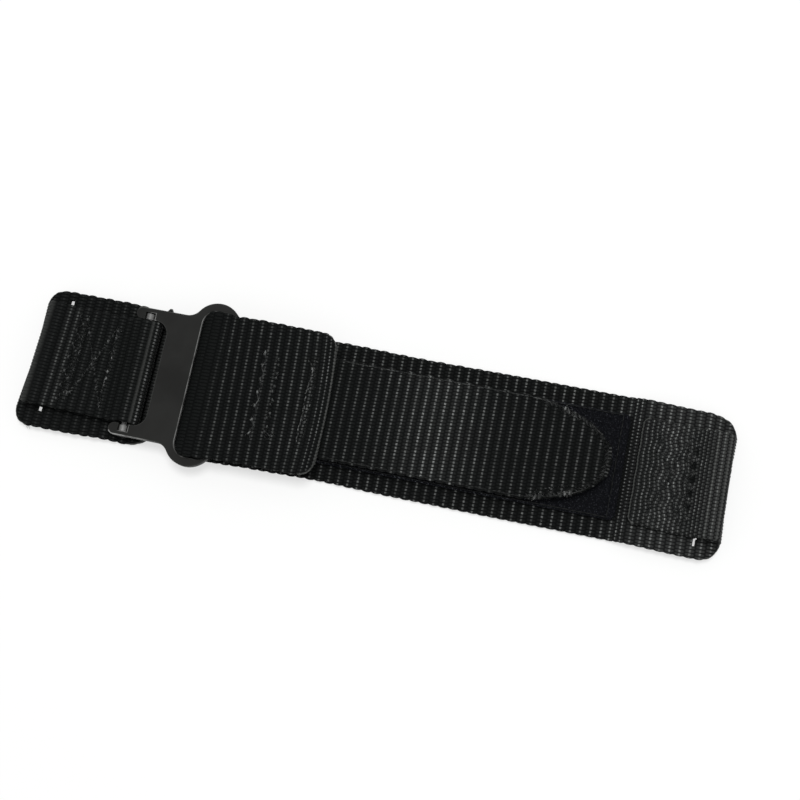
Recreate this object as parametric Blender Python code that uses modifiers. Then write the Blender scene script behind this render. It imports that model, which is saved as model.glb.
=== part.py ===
"""Nylon watch strap with a metal ring buckle and a hook and loop closure.

The short piece is a wide pad with a narrow strip of webbing sewn on it. The strip makes the
tunnel for the watch's bar at one end and holds the buckle's spring bar at the other. The long
piece is one wide webbing that goes round the ring of the buckle and comes back on top as a
flap. A narrow tab with hook tape under it is sewn to the flap and closes on a loop patch.

Metres, +Z up. The strap lies closed and flat on its skin side, with its length along X and its
width along Y. The origin is at the middle of the box round it, on the surface it lies on.
"""

import math

import bmesh
import bpy
from mathutils import Euler, Matrix, Vector

MM = 0.001
PART_NAME = "nylon_watch_strap"

# Webbing, tape and the room between plies
WEB_THICKNESS = 1.05 * MM
NARROW_WEB_WIDTH = 19.05 * MM
WIDE_WEB_MARGIN = 3.175 * MM
WIDE_WEB_WIDTH = NARROW_WEB_WIDTH + 2 * WIDE_WEB_MARGIN
PLY_GAP = 0.25 * MM
LOOP_THICKNESS = 1.2 * MM
HOOK_THICKNESS = 1.15 * MM

# Threads of the seams
THREAD_RADIUS = 0.17 * MM
THREAD_SEAT = 0.1 * MM

# Lug ends: the slit in the wide webbing and the tunnel that the strip makes
SLIT_INSET = 4.6 * MM
SLIT_SIDE_ROOM = 0.2 * MM
SLIT_END_ROOM = 1.1 * MM
SLIT_TURN_ROOM = 0.3 * MM
LUG_BORE = 1.65 * MM
SHORT_ROLL_INSET = 1.4 * MM
FAR_ROLL_INSET = 0.5 * MM
SHORT_LUG_SLOPE = 3.7 * MM
FAR_LUG_SLOPE = 4.1 * MM
LUG_CORNER_RADIUS = 2.9 * MM
RAMP_LENGTH = 4.0 * MM

# Short piece
BAR_DISTANCE = 20.7 * MM
PAD_LENGTH = 25.2 * MM
PAD_CORNER_RADIUS = 4.5 * MM
ROLL_SLOPE = 4.4 * MM
UNDER_PLY_SETBACK = 0.7 * MM
RETURN_PLY_GAP = 0.6 * MM

# Spring bar
BAR_RADIUS = 0.9 * MM
BAR_WALL = 0.28 * MM
ROLL_SLACK = 0.65 * MM
TIP_COLLAR_STEP = 0.17 * MM
TIP_COLLAR_LENGTH = 1.05 * MM
TIP_STEM_ROOM = 0.12 * MM
TIP_STEM_LENGTH = 3.8 * MM
TIP_NIB_STEP = 0.33 * MM
TIP_TRAVEL = 0.8 * MM
TIP_CLEARANCE = 0.1 * MM
NIB_RECESS = 0.2 * MM
SPRING_WIRE_RADIUS = 0.12 * MM
SPRING_BORE_ROOM = 0.1 * MM
SPRING_TURNS = 12

# Buckle frame
FRAME_THICKNESS = 1.4 * MM
FRAME_EDGE_ROUNDING = 0.18 * MM
FORK_SIDE_ROOM = 0.2 * MM
FORK_DEPTH = 4.0 * MM
FORK_CORNER_RADIUS = 2.4 * MM
ARM_WIDTH = 2.15 * MM
ARM_TIP_REACH = 2.36 * MM
ARM_BARREL_WALL = 0.3 * MM
ARM_OUTER_WALL = 0.8 * MM
SLOT_ROOM = 0.12 * MM
SLOT_LEDGE_LENGTH = 0.4 * MM
SLOT_LEDGE_DEPTH = 0.45 * MM
NIB_HOLE_ROOM = 0.08 * MM
PLATE_LENGTH = 5.95 * MM
RING_OPENING = 5.6 * MM
RING_SIDE_ROOM = 0.77 * MM
RING_RIM_WIDTH = 1.58 * MM
RING_BAR_WIDTH = 1.5 * MM
RING_LOBE_RADIUS = 3.75 * MM
RING_NECK_RADIUS = 2.6 * MM
RING_CORNER_RADIUS = 2.5 * MM
RING_BAR_CORNER_RADIUS = 0.7 * MM
RING_TOP_ROOM = 0.35 * MM

# Long piece and its closure
TURN_ROOM = 0.45 * MM
TURN_CORNER_ROOM = 0.02 * MM
FLAP_ROOT_SETBACK = 0.55 * MM
FLAP_LENGTH = 18.1 * MM
FLAP_CORNER_RADIUS = 2.5 * MM
PATCH_WIDTH = 19.0 * MM
TAB_MARGIN = 0.35 * MM
TAB_WIDTH = PATCH_WIDTH - 2 * TAB_MARGIN
TAB_OVERLAP = 13.9 * MM
TAB_FREE_LENGTH = 49.95 * MM
TAB_NOSE_LENGTH = 14.0 * MM
TAB_NOSE_FULLNESS = 1.8
HOOK_INSET = 0.6 * MM
HOOK_START_SETBACK = 1.7 * MM
PATCH_CORNER_RADIUS = 1.0 * MM
PATCH_START_SETBACK = 0.5 * MM
PATCH_END_GAP = 2.2 * MM
TIP_TO_LUG_STRIP = 4.85 * MM
LUG_STRIP_LENGTH = 16.3 * MM

# Seams: how far they keep from the edges that they follow, and their waves
SEAM_INSET = 0.55 * MM
CROSS_SEAM_INSET = 1.9 * MM
SEAM_WAVE_REACH = 0.5 * MM
SEAM_WAVE_PITCH = 2.4 * MM
TUNNEL_SEAM_SETBACK = 0.9 * MM
FAR_TUNNEL_SEAM_SETBACK = 0.5 * MM
CROSS_SEAM_SETBACK = 0.35 * MM
SHORT_CROSS_LENGTH = 6.2 * MM
LUG_CROSS_SETBACK = 2.25 * MM
LUG_CROSS_LENGTH = 5.4 * MM
PATCH_SEAM_INSET = 0.27 * MM
PATCH_SEAM_END_INSET = 1.1 * MM
PATCH_SEAM_CORNER = 0.28 * MM
FLAP_SEAM_FRONT = 6.9 * MM
FLAP_SEAM_FRONT_REACH = 1.25 * MM
FLAP_SEAM_BACK = 14.3 * MM

CUT_OVERRUN = 1.0 * MM
SAME_POINT = 0.001 * MM
ARC_STEPS = 8
WAVE_STEPS = 6
RIM_STEPS = 24

# Heights: plies lie on each other a pitch apart, counted from the surface below
PLY_PITCH = WEB_THICKNESS + PLY_GAP
PATCH_BOTTOM = PLY_PITCH
PATCH_TOP = PATCH_BOTTOM + LOOP_THICKNESS
HOOK_BOTTOM = PATCH_TOP + PLY_GAP
TAB_BOTTOM = HOOK_BOTTOM + HOOK_THICKNESS + PLY_GAP
TAB_TOP = TAB_BOTTOM + WEB_THICKNESS
ROLL_INNER_RADIUS = BAR_RADIUS + ROLL_SLACK
ROLL_MIDDLE_RADIUS = ROLL_INNER_RADIUS + WEB_THICKNESS / 2
BAR_HEIGHT = PLY_PITCH + ROLL_INNER_RADIUS + WEB_THICKNESS
BAR_BORE_RADIUS = BAR_RADIUS - BAR_WALL
TIP_STEM_RADIUS = BAR_BORE_RADIUS - TIP_STEM_ROOM
TIP_COLLAR_RADIUS = BAR_RADIUS - TIP_COLLAR_STEP
TIP_NIB_RADIUS = TIP_COLLAR_RADIUS - TIP_NIB_STEP
SLOT_RADIUS = TIP_COLLAR_RADIUS + SLOT_ROOM
BARREL_RADIUS = SLOT_RADIUS + ARM_BARREL_WALL
FRAME_TOP = BAR_HEIGHT + BARREL_RADIUS + FRAME_EDGE_ROUNDING / 2
FRAME_BOTTOM = FRAME_TOP - FRAME_THICKNESS
FLAP_BOTTOM = max(TAB_TOP + PLY_GAP, FRAME_TOP + RING_TOP_ROOM)
FLAP_TOP = FLAP_BOTTOM + WEB_THICKNESS

# Places along X, from the lug end of the short piece to that of the long one
TOTAL_LENGTH = (
    BAR_DISTANCE
    + FORK_DEPTH
    + PLATE_LENGTH
    + RING_OPENING
    + RING_BAR_WIDTH
    + FLAP_ROOT_SETBACK
    + FLAP_LENGTH
    + TAB_FREE_LENGTH
    + TIP_TO_LUG_STRIP
    + LUG_STRIP_LENGTH
)
LEFT_END = -TOTAL_LENGTH / 2
RIGHT_END = TOTAL_LENGTH / 2
BAR_X = LEFT_END + BAR_DISTANCE
FORK_EDGE_X = BAR_X + FORK_DEPTH
OPENING_LEFT_X = FORK_EDGE_X + PLATE_LENGTH
OPENING_RIGHT_X = OPENING_LEFT_X + RING_OPENING
RING_RIGHT_X = OPENING_RIGHT_X + RING_BAR_WIDTH
RING_AXIS_X = OPENING_RIGHT_X + RING_BAR_WIDTH / 2
FLAP_ROOT_X = RING_RIGHT_X + FLAP_ROOT_SETBACK
FLAP_END_X = FLAP_ROOT_X + FLAP_LENGTH
TAB_START_X = FLAP_END_X - TAB_OVERLAP
TAB_TIP_X = FLAP_END_X + TAB_FREE_LENGTH
LUG_STRIP_END_X = TAB_TIP_X + TIP_TO_LUG_STRIP
SEWN_END_X = BAR_X - ROLL_SLOPE
LUG_TURN_RADIUS = LUG_BORE / 2 + WEB_THICKNESS / 2
SHORT_CENTRE_INSET = SHORT_ROLL_INSET + WEB_THICKNESS / 2 + LUG_TURN_RADIUS
FAR_CENTRE_INSET = FAR_ROLL_INSET + WEB_THICKNESS / 2 + LUG_TURN_RADIUS
SLIT_TURN_RADIUS = WEB_THICKNESS / 2 + SLIT_TURN_ROOM
RAMP_START_X = LUG_STRIP_END_X - RAMP_LENGTH + UNDER_PLY_SETBACK
RAMP_END_X = RAMP_START_X + RAMP_LENGTH

# Places along Y, from the middle outwards
FORK_HALF_GAP = NARROW_WEB_WIDTH / 2 + FORK_SIDE_ROOM
ARM_OUTER_Y = FORK_HALF_GAP + ARM_WIDTH
ARM_WALL_Y = ARM_OUTER_Y - ARM_OUTER_WALL
OPENING_HALF_HEIGHT = WIDE_WEB_WIDTH / 2 + RING_SIDE_ROOM
RING_OUTER_Y = OPENING_HALF_HEIGHT + RING_RIM_WIDTH
COLLAR_OUTER_Y = ARM_WALL_Y - TIP_CLEARANCE
COLLAR_INNER_Y = COLLAR_OUTER_Y - TIP_COLLAR_LENGTH
BAR_HALF_LENGTH = COLLAR_INNER_Y - TIP_TRAVEL - TIP_CLEARANCE
STEM_INNER_Y = COLLAR_INNER_Y - TIP_STEM_LENGTH
NIB_OUTER_Y = ARM_OUTER_Y - NIB_RECESS

# Plain finishes: colour, roughness, metallic
FINISHES = {
    "webbing_black": ((0.030, 0.033, 0.034), 0.85, 0.0),
    "thread_black": ((0.050, 0.053, 0.052), 0.60, 0.0),
    "loop_black": ((0.020, 0.021, 0.024), 0.95, 0.0),
    "hook_black": ((0.015, 0.015, 0.016), 0.55, 0.0),
    "coated_metal": ((0.045, 0.045, 0.044), 0.42, 0.85),
    "bar_steel": ((0.560, 0.560, 0.550), 0.32, 1.0),
}


def clear_scene():
    """Removes the objects that the file opens with."""
    for existing in list(bpy.data.objects):
        bpy.data.objects.remove(existing, do_unlink=True)


def new_collection(name):
    """Makes a collection of the scene."""
    collection = bpy.data.collections.new(name)
    bpy.context.scene.collection.children.link(collection)
    return collection


def new_material(name):
    """Makes one plain finish from its colour, roughness and metallic value."""
    colour, roughness, metallic = FINISHES[name]
    material = bpy.data.materials.new(name)
    material.use_nodes = True
    shader = material.node_tree.nodes["Principled BSDF"]
    shader.inputs["Base Color"].default_value = (*colour, 1.0)
    shader.inputs["Roughness"].default_value = roughness
    shader.inputs["Metallic"].default_value = metallic
    return material


clear_scene()
PARTS = new_collection(PART_NAME)
CUTTERS = new_collection("cutters")
MATERIALS = {name: new_material(name) for name in FINISHES}


def arc(centre, radius_a, radius_b, start, end, steps=ARC_STEPS):
    """Points on an arc of an ellipse, from one angle in degrees to another."""
    angles = [math.radians(start + (end - start) * step / steps) for step in range(steps + 1)]
    return [
        (centre[0] + radius_a * math.cos(angle), centre[1] + radius_b * math.sin(angle))
        for angle in angles
    ]


def slope(start, end, steps=ARC_STEPS):
    """Points on a soft S between two places, level at both ends."""
    points = []
    for step in range(steps + 1):
        share = step / steps
        rise_share = (1 - math.cos(math.pi * share)) / 2
        points.append(
            (start[0] + (end[0] - start[0]) * share, start[1] + (end[1] - start[1]) * rise_share)
        )
    return points


def joined(*stretches):
    """One line through several stretches, without doubled points."""
    line = []
    for stretch in stretches:
        for point in stretch:
            if not line or math.dist(point, line[-1]) > SAME_POINT:
                line.append(point)
    return line


def offset_line(line, distance):
    """The line beside another one, on its left hand for a positive distance."""
    moved = []
    for index, point in enumerate(line):
        before = line[max(index - 1, 0)]
        after = line[min(index + 1, len(line) - 1)]
        length = math.dist(before, after)
        across = (-(after[1] - before[1]) / length, (after[0] - before[0]) / length)
        moved.append((point[0] + across[0] * distance, point[1] + across[1] * distance))
    return moved


def band(line, thickness):
    """The closed outline of a ply that follows a line."""
    return offset_line(line, thickness / 2) + offset_line(line, -thickness / 2)[::-1]


def mirrored(half):
    """A closed outline from its +Y half, which runs from one end to the other."""
    return joined(half, [(x, -y) for x, y in reversed(half)])


def plan_outline(left, right, half_width, left_radius, right_radius):
    """A rectangle seen from above, with rounded corners at each end."""
    half = joined(
        arc((left + left_radius, half_width - left_radius), left_radius, left_radius, 180, 90),
        arc((right - right_radius, half_width - right_radius), right_radius, right_radius, 90, 0),
    )
    return mirrored(half)


def outline_curve(name, outlines, half_thickness, rounding=0):
    """A flat outline, with any holes in it, given its thickness both ways and a rounded rim."""
    curve = bpy.data.curves.new(name, "CURVE")
    curve.dimensions = "2D"
    curve.fill_mode = "BOTH"
    curve.extrude = half_thickness - rounding
    curve.bevel_depth = rounding
    curve.bevel_resolution = 1
    curve.offset = -rounding
    for outline in outlines:
        spline = curve.splines.new("POLY")
        spline.points.add(len(outline) - 1)
        for point, place in zip(spline.points, outline):
            point.co = (place[0], place[1], 0, 1)
        spline.use_cyclic_u = True
    return bpy.data.objects.new(name, curve)


def as_mesh(curve_object, finish=None):
    """Turns a curve object into a welded mesh object of the same name and place."""
    name = curve_object.name
    bpy.context.scene.collection.objects.link(curve_object)
    bpy.context.view_layer.update()
    evaluated = curve_object.evaluated_get(bpy.context.evaluated_depsgraph_get())
    mesh = bpy.data.meshes.new_from_object(evaluated)
    place = curve_object.matrix_world.copy()
    curve = curve_object.data
    bpy.data.objects.remove(curve_object, do_unlink=True)
    bpy.data.curves.remove(curve)
    work = bmesh.new()
    work.from_mesh(mesh)
    bmesh.ops.remove_doubles(work, verts=work.verts, dist=SAME_POINT)
    bmesh.ops.recalc_face_normals(work, faces=work.faces)
    work.to_mesh(mesh)
    work.free()
    mesh.name = name
    piece = bpy.data.objects.new(name, mesh)
    piece.matrix_world = place
    (PARTS if finish else CUTTERS).objects.link(piece)
    if finish:
        set_finish(piece, finish)
    else:
        hide_cutter(piece)
    return piece


def set_finish(piece, finish):
    """Gives a piece its material and smooth shading between flat faces."""
    piece.data.materials.clear()
    piece.data.materials.append(MATERIALS[finish])
    piece.data.shade_smooth()
    piece.data.set_sharp_from_angle(angle=math.radians(35))


def hide_cutter(cutter):
    """Keeps a cutter out of the renders."""
    cutter.hide_render = True
    cutter.display_type = "WIRE"


def flat_piece(name, outlines, bottom, top, finish=None, rounding=0):
    """A piece of one thickness, cut to outlines that are drawn from above."""
    curve_object = outline_curve(name, outlines, (top - bottom) / 2, rounding)
    curve_object.location.z = (bottom + top) / 2
    return as_mesh(curve_object, finish)


def ribbon(name, line, thickness, width, finish=None):
    """A ply of webbing that follows a line drawn from the side, as wide as given."""
    curve_object = outline_curve(name, [band(line, thickness)], width / 2)
    curve_object.rotation_euler.x = math.radians(90)
    return as_mesh(curve_object, finish)


def cutter_from(name, work):
    """Makes a hidden cutter from the shapes in a bmesh."""
    mesh = bpy.data.meshes.new(name)
    work.to_mesh(mesh)
    work.free()
    cutter = bpy.data.objects.new(name, mesh)
    CUTTERS.objects.link(cutter)
    hide_cutter(cutter)
    return cutter


def box_cutter(name, low, high):
    """A box between two corners, to cut with."""
    middle = (Vector(high) + Vector(low)) / 2
    size = Vector(high) - Vector(low)
    work = bmesh.new()
    bmesh.ops.create_cube(work, matrix=Matrix.LocRotScale(middle, None, size))
    return cutter_from(name, work)


def rod_cutter(name, radius, stretches):
    """Round rods along Y on the spring bar's axis, to cut or join with."""
    work = bmesh.new()
    upright = Euler((math.radians(-90), 0, 0))
    for low_y, high_y in stretches:
        middle = Vector((BAR_X, (low_y + high_y) / 2, BAR_HEIGHT))
        bmesh.ops.create_cone(
            work,
            cap_ends=True,
            segments=RIM_STEPS,
            radius1=radius,
            radius2=radius,
            depth=high_y - low_y,
            matrix=Matrix.LocRotScale(middle, upright, None),
        )
    return cutter_from(name, work)


def boolean(piece, tool, operation):
    """Cuts a piece with another object, or joins or crops it."""
    modifier = piece.modifiers.new(f"{operation.lower()} {tool.name}", "BOOLEAN")
    modifier.operation = operation
    modifier.solver = "EXACT"
    modifier.object = tool


def turned_piece(name, profile, finish):
    """A round piece on the spring bar's axis, from radius and Y pairs up its outer side."""
    mesh = bpy.data.meshes.new(name)
    edges = [(index, index + 1) for index in range(len(profile) - 1)]
    if profile[0][0] > 0:
        edges.append((len(profile) - 1, 0))
    mesh.from_pydata([(radius, place, 0) for radius, place in profile], edges, [])
    piece = bpy.data.objects.new(name, mesh)
    PARTS.objects.link(piece)
    piece.location = (BAR_X, 0, BAR_HEIGHT)
    screw = piece.modifiers.new("turn", "SCREW")
    screw.axis = "Y"
    screw.steps = RIM_STEPS
    screw.render_steps = RIM_STEPS
    screw.use_merge_vertices = True
    screw.merge_threshold = SAME_POINT
    screw.use_normal_flip = True
    set_finish(piece, finish)
    return piece


def thread(name, points, finish, closed=False, radius=THREAD_RADIUS):
    """A thin round tube through points: a seam's thread or a spring's wire."""
    curve = bpy.data.curves.new(name, "CURVE")
    curve.dimensions = "3D"
    curve.bevel_depth = radius
    curve.bevel_resolution = 1
    curve.use_fill_caps = True
    spline = curve.splines.new("POLY")
    spline.points.add(len(points) - 1)
    for point, place in zip(spline.points, points):
        point.co = (*place, 1)
    spline.use_cyclic_u = closed
    return as_mesh(bpy.data.objects.new(name, curve), finish)


def wave_seam(name, x, height, half_width, reach=SEAM_WAVE_REACH):
    """A zigzag row of thread across the webbing, lying on a ply at one height."""
    waves = max(1, round(2 * half_width / SEAM_WAVE_PITCH))
    count = waves * WAVE_STEPS
    points = []
    for step in range(count + 1):
        swing = math.sin(2 * math.pi * waves * step / count)
        place = -half_width + 2 * half_width * step / count
        points.append((x + reach * swing, place, height + THREAD_SEAT + THREAD_RADIUS))
    return thread(name, points, "thread_black")


def cross_seam(name, x, height, half_length, half_width):
    """A figure of eight of thread, whose second diagonal passes over the first."""
    count = ARC_STEPS * WAVE_STEPS
    lift = 2 * THREAD_RADIUS + THREAD_SEAT
    points = []
    for step in range(count):
        angle = 2 * math.pi * step / count
        over_share = max(0, math.sin(angle)) ** 4
        points.append(
            (
                x + half_length * math.cos(angle),
                half_width * math.sin(2 * angle),
                height + THREAD_SEAT + THREAD_RADIUS + lift * over_share,
            )
        )
    return thread(name, points, "thread_black", closed=True)


def ply_middle(level):
    """Height of the middle of a ply, counted in plies from the surface below."""
    return level * PLY_PITCH + WEB_THICKNESS / 2


def lug_turns(end, inward, centre_inset):
    """The strip's line round the lug tunnel, from its top, and down through the slit.

    end is the webbing's end along X, inward is +1 where the strap lies on its +X side, and
    centre_inset is how far the tunnel's middle keeps from the end."""
    low = ply_middle(2)
    under = ply_middle(0)
    centre_x = end + inward * centre_inset
    slit_x = end + inward * SLIT_INSET
    tunnel = arc((0, 0), LUG_TURN_RADIUS, LUG_TURN_RADIUS, 90, 270, 2 * ARC_STEPS)
    over = arc((0, 0), SLIT_TURN_RADIUS, SLIT_TURN_RADIUS, 90, 0)
    down = arc((0, 0), SLIT_TURN_RADIUS, SLIT_TURN_RADIUS, 180, 270)
    return joined(
        [(centre_x + inward * x, low + LUG_TURN_RADIUS + z) for x, z in tunnel],
        [
            (slit_x + inward * (x - SLIT_TURN_RADIUS), low - SLIT_TURN_RADIUS + z)
            for x, z in over
        ],
        [
            (slit_x + inward * (x + SLIT_TURN_RADIUS), under + SLIT_TURN_RADIUS + z)
            for x, z in down
        ],
    )


def base_height(x):
    """Middle height of the long webbing, which climbs onto the lug strip's lower ply."""
    share = min(max((x - RAMP_START_X) / RAMP_LENGTH, 0), 1)
    return ply_middle(0) + PLY_PITCH * (1 - math.cos(math.pi * share)) / 2


def base_line(start, end):
    """The long webbing's line between two places along X."""
    ramp = [RAMP_START_X + RAMP_LENGTH * step / ARC_STEPS for step in range(ARC_STEPS + 1)]
    places = [start] + [x for x in ramp if start < x < end] + [end]
    return [(x, base_height(x)) for x in places]


def slit_cutter(name, x):
    """The slit that the narrow strip passes through, across the wide webbing."""
    half_gap = WEB_THICKNESS / 2 + SLIT_SIDE_ROOM
    half_length = NARROW_WEB_WIDTH / 2 + SLIT_END_ROOM
    return box_cutter(
        name,
        (x - half_gap, -half_length, -CUT_OVERRUN),
        (x + half_gap, half_length, FLAP_TOP),
    )


def make_short_pad():
    """The wide skin side pad, with its slit, that dips to the table beside the buckle."""
    ramp_start = SEWN_END_X - UNDER_PLY_SETBACK / 2
    line = joined(
        [(LEFT_END - CUT_OVERRUN, ply_middle(1))],
        slope((ramp_start, ply_middle(1)), (ramp_start + RAMP_LENGTH, ply_middle(0))),
        [(LEFT_END + PAD_LENGTH + CUT_OVERRUN, ply_middle(0))],
    )
    pad = ribbon("short_pad", line, WEB_THICKNESS, WIDE_WEB_WIDTH + CUT_OVERRUN, "webbing_black")
    plan = plan_outline(
        LEFT_END,
        LEFT_END + PAD_LENGTH,
        WIDE_WEB_WIDTH / 2,
        LUG_CORNER_RADIUS,
        PAD_CORNER_RADIUS,
    )
    boolean(pad, flat_piece("pad_plan", [plan], -CUT_OVERRUN, FLAP_TOP), "INTERSECT")
    boolean(pad, slit_cutter("pad_slit", LEFT_END + SLIT_INSET), "DIFFERENCE")


def make_short_strip():
    """The narrow strip: under the pad, round the lug tunnel, over, and round the spring bar."""
    tunnel_top = (LEFT_END + SHORT_CENTRE_INSET, ply_middle(2) + 2 * LUG_TURN_RADIUS)
    tunnel_foot_x = tunnel_top[0] + SHORT_LUG_SLOPE
    under_end = (SEWN_END_X - UNDER_PLY_SETBACK, ply_middle(0))
    roll = arc((BAR_X, BAR_HEIGHT), ROLL_MIDDLE_RADIUS, ROLL_MIDDLE_RADIUS, -90, 90, 2 * ARC_STEPS)
    line = joined(
        [(tunnel_foot_x + RETURN_PLY_GAP, ply_middle(2))],
        slope((SEWN_END_X, ply_middle(2)), roll[0]),
        roll,
        slope(roll[-1], (SEWN_END_X, ply_middle(3))),
        slope((tunnel_foot_x, ply_middle(3)), tunnel_top),
        lug_turns(LEFT_END, 1, SHORT_CENTRE_INSET),
        [under_end],
    )
    ribbon("short_strip", line, WEB_THICKNESS, NARROW_WEB_WIDTH, "webbing_black")


def make_short_seams():
    """The seam that closes the lug tunnel and the crossed seam beside the buckle."""
    top = ply_middle(3) + WEB_THICKNESS / 2
    half_width = NARROW_WEB_WIDTH / 2 - CROSS_SEAM_INSET
    seam_x = LEFT_END + SHORT_CENTRE_INSET + SHORT_LUG_SLOPE + TUNNEL_SEAM_SETBACK
    wave_seam("short_tunnel_seam", seam_x, top, half_width)
    cross_x = SEWN_END_X - CROSS_SEAM_SETBACK - SHORT_CROSS_LENGTH / 2
    cross_seam("short_cross_seam", cross_x, top, SHORT_CROSS_LENGTH / 2, half_width)


def frame_outline():
    """The buckle's outline from above: two arms of a fork, and the round shoulders of the ring."""
    tip_radius = ARM_WIDTH / 2
    tip_x = BAR_X - ARM_TIP_REACH
    lobe_y = RING_OUTER_Y - RING_LOBE_RADIUS
    lobe_x = RING_RIGHT_X - RING_LOBE_RADIUS
    neck_y = ARM_OUTER_Y + RING_NECK_RADIUS
    reach = RING_NECK_RADIUS + RING_LOBE_RADIUS
    neck_x = lobe_x - math.sqrt(reach**2 - (neck_y - lobe_y) ** 2)
    meeting = math.degrees(math.atan2(neck_y - lobe_y, neck_x - lobe_x))
    corner = FORK_CORNER_RADIUS
    half = joined(
        [(FORK_EDGE_X, 0)],
        arc((FORK_EDGE_X - corner, FORK_HALF_GAP - corner), corner, corner, 0, 90),
        arc((tip_x + tip_radius, FORK_HALF_GAP + tip_radius), tip_radius, tip_radius, 270, 90),
        arc((neck_x, neck_y), RING_NECK_RADIUS, RING_NECK_RADIUS, -90, meeting - 180),
        arc((lobe_x, lobe_y), RING_LOBE_RADIUS, RING_LOBE_RADIUS, meeting, 0, 2 * ARC_STEPS),
    )
    return mirrored(half)


def opening_outline():
    """The ring's opening from above."""
    return plan_outline(
        OPENING_LEFT_X,
        OPENING_RIGHT_X,
        OPENING_HALF_HEIGHT,
        RING_CORNER_RADIUS,
        RING_BAR_CORNER_RADIUS,
    )


def slot_outline():
    """The slot for the bar's collars, from the side: round below, open above, with a ledge."""
    rim = FRAME_TOP - BAR_HEIGHT
    ledge_x = SLOT_RADIUS + SLOT_LEDGE_LENGTH
    ledge_z = rim - SLOT_LEDGE_DEPTH
    above = rim + CUT_OVERRUN
    return joined(
        arc((0, 0), SLOT_RADIUS, SLOT_RADIUS, 180, 360, 2 * ARC_STEPS),
        [(SLOT_RADIUS, ledge_z), (ledge_x, ledge_z), (ledge_x, above), (-SLOT_RADIUS, above)],
    )


def make_buckle_frame():
    """The one-piece metal buckle: fork, plate and ring, with barrels and slots for the bar."""
    frame = flat_piece(
        "buckle_frame",
        [frame_outline(), opening_outline()],
        FRAME_BOTTOM,
        FRAME_TOP,
        "coated_metal",
        FRAME_EDGE_ROUNDING,
    )
    inner = FORK_HALF_GAP + FRAME_EDGE_ROUNDING
    outer = ARM_OUTER_Y - FRAME_EDGE_ROUNDING
    barrels = rod_cutter("barrels", BARREL_RADIUS, [(-outer, -inner), (inner, outer)])
    boolean(frame, barrels, "UNION")
    slot = outline_curve("slot", [slot_outline()], ARM_WALL_Y)
    slot.location = (BAR_X, 0, BAR_HEIGHT)
    slot.rotation_euler.x = math.radians(90)
    boolean(frame, as_mesh(slot), "DIFFERENCE")
    past_arms = ARM_OUTER_Y + CUT_OVERRUN
    hole_radius = TIP_NIB_RADIUS + NIB_HOLE_ROOM
    boolean(frame, rod_cutter("nib_holes", hole_radius, [(-past_arms, past_arms)]), "DIFFERENCE")


def make_spring_bar():
    """The spring bar: an open tube, a stepped tip at each end and the coil spring between."""
    turned_piece(
        "spring_bar_tube",
        [
            (BAR_RADIUS, -BAR_HALF_LENGTH),
            (BAR_RADIUS, BAR_HALF_LENGTH),
            (BAR_BORE_RADIUS, BAR_HALF_LENGTH),
            (BAR_BORE_RADIUS, -BAR_HALF_LENGTH),
        ],
        "bar_steel",
    )
    for side, name in ((1, "upper"), (-1, "lower")):
        steps = [
            (0, STEM_INNER_Y),
            (TIP_STEM_RADIUS, STEM_INNER_Y),
            (TIP_STEM_RADIUS, COLLAR_INNER_Y),
            (TIP_COLLAR_RADIUS, COLLAR_INNER_Y),
            (TIP_COLLAR_RADIUS, COLLAR_OUTER_Y),
            (TIP_NIB_RADIUS, COLLAR_OUTER_Y),
            (TIP_NIB_RADIUS, NIB_OUTER_Y),
            (0, NIB_OUTER_Y),
        ]
        turned_piece(
            f"spring_bar_tip_{name}",
            [(radius, side * y) for radius, y in steps][::side],
            "bar_steel",
        )
    coil_radius = BAR_BORE_RADIUS - SPRING_BORE_ROOM - SPRING_WIRE_RADIUS
    half_length = STEM_INNER_Y - SPRING_WIRE_RADIUS - TIP_CLEARANCE
    count = SPRING_TURNS * ARC_STEPS
    wire = []
    for step in range(count + 1):
        angle = 2 * math.pi * step / ARC_STEPS
        wire.append(
            (
                BAR_X + coil_radius * math.cos(angle),
                -half_length + 2 * half_length * step / count,
                BAR_HEIGHT + coil_radius * math.sin(angle),
            )
        )
    thread("spring_bar_spring", wire, "bar_steel", radius=SPRING_WIRE_RADIUS)


def make_long_webbing():
    """The wide webbing: along the skin side, and round the ring's bar in a turn that fills it."""
    turn_top = FLAP_BOTTOM + WEB_THICKNESS / 2
    turn_middle = (RING_AXIS_X, (turn_top + ply_middle(0)) / 2)
    reach = RING_AXIS_X - OPENING_LEFT_X - TURN_ROOM - WEB_THICKNESS / 2
    rise = (turn_top - ply_middle(0)) / 2
    line = joined(
        [(FLAP_ROOT_X - PLY_GAP, turn_top)],
        arc(turn_middle, reach, rise, 90, 270, 3 * ARC_STEPS),
        base_line(RING_AXIS_X + WEB_THICKNESS, RIGHT_END + CUT_OVERRUN),
    )
    webbing = ribbon(
        "long_webbing", line, WEB_THICKNESS, WIDE_WEB_WIDTH + CUT_OVERRUN, "webbing_black"
    )
    turn_end = turn_middle[0] - reach - WEB_THICKNESS / 2 - TURN_CORNER_ROOM
    plan = plan_outline(
        turn_end, RIGHT_END, WIDE_WEB_WIDTH / 2, RING_CORNER_RADIUS, LUG_CORNER_RADIUS
    )
    boolean(
        webbing,
        flat_piece("long_plan", [plan], -CUT_OVERRUN, FLAP_TOP + CUT_OVERRUN),
        "INTERSECT",
    )
    boolean(webbing, slit_cutter("long_slit", RIGHT_END - SLIT_INSET), "DIFFERENCE")


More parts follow.
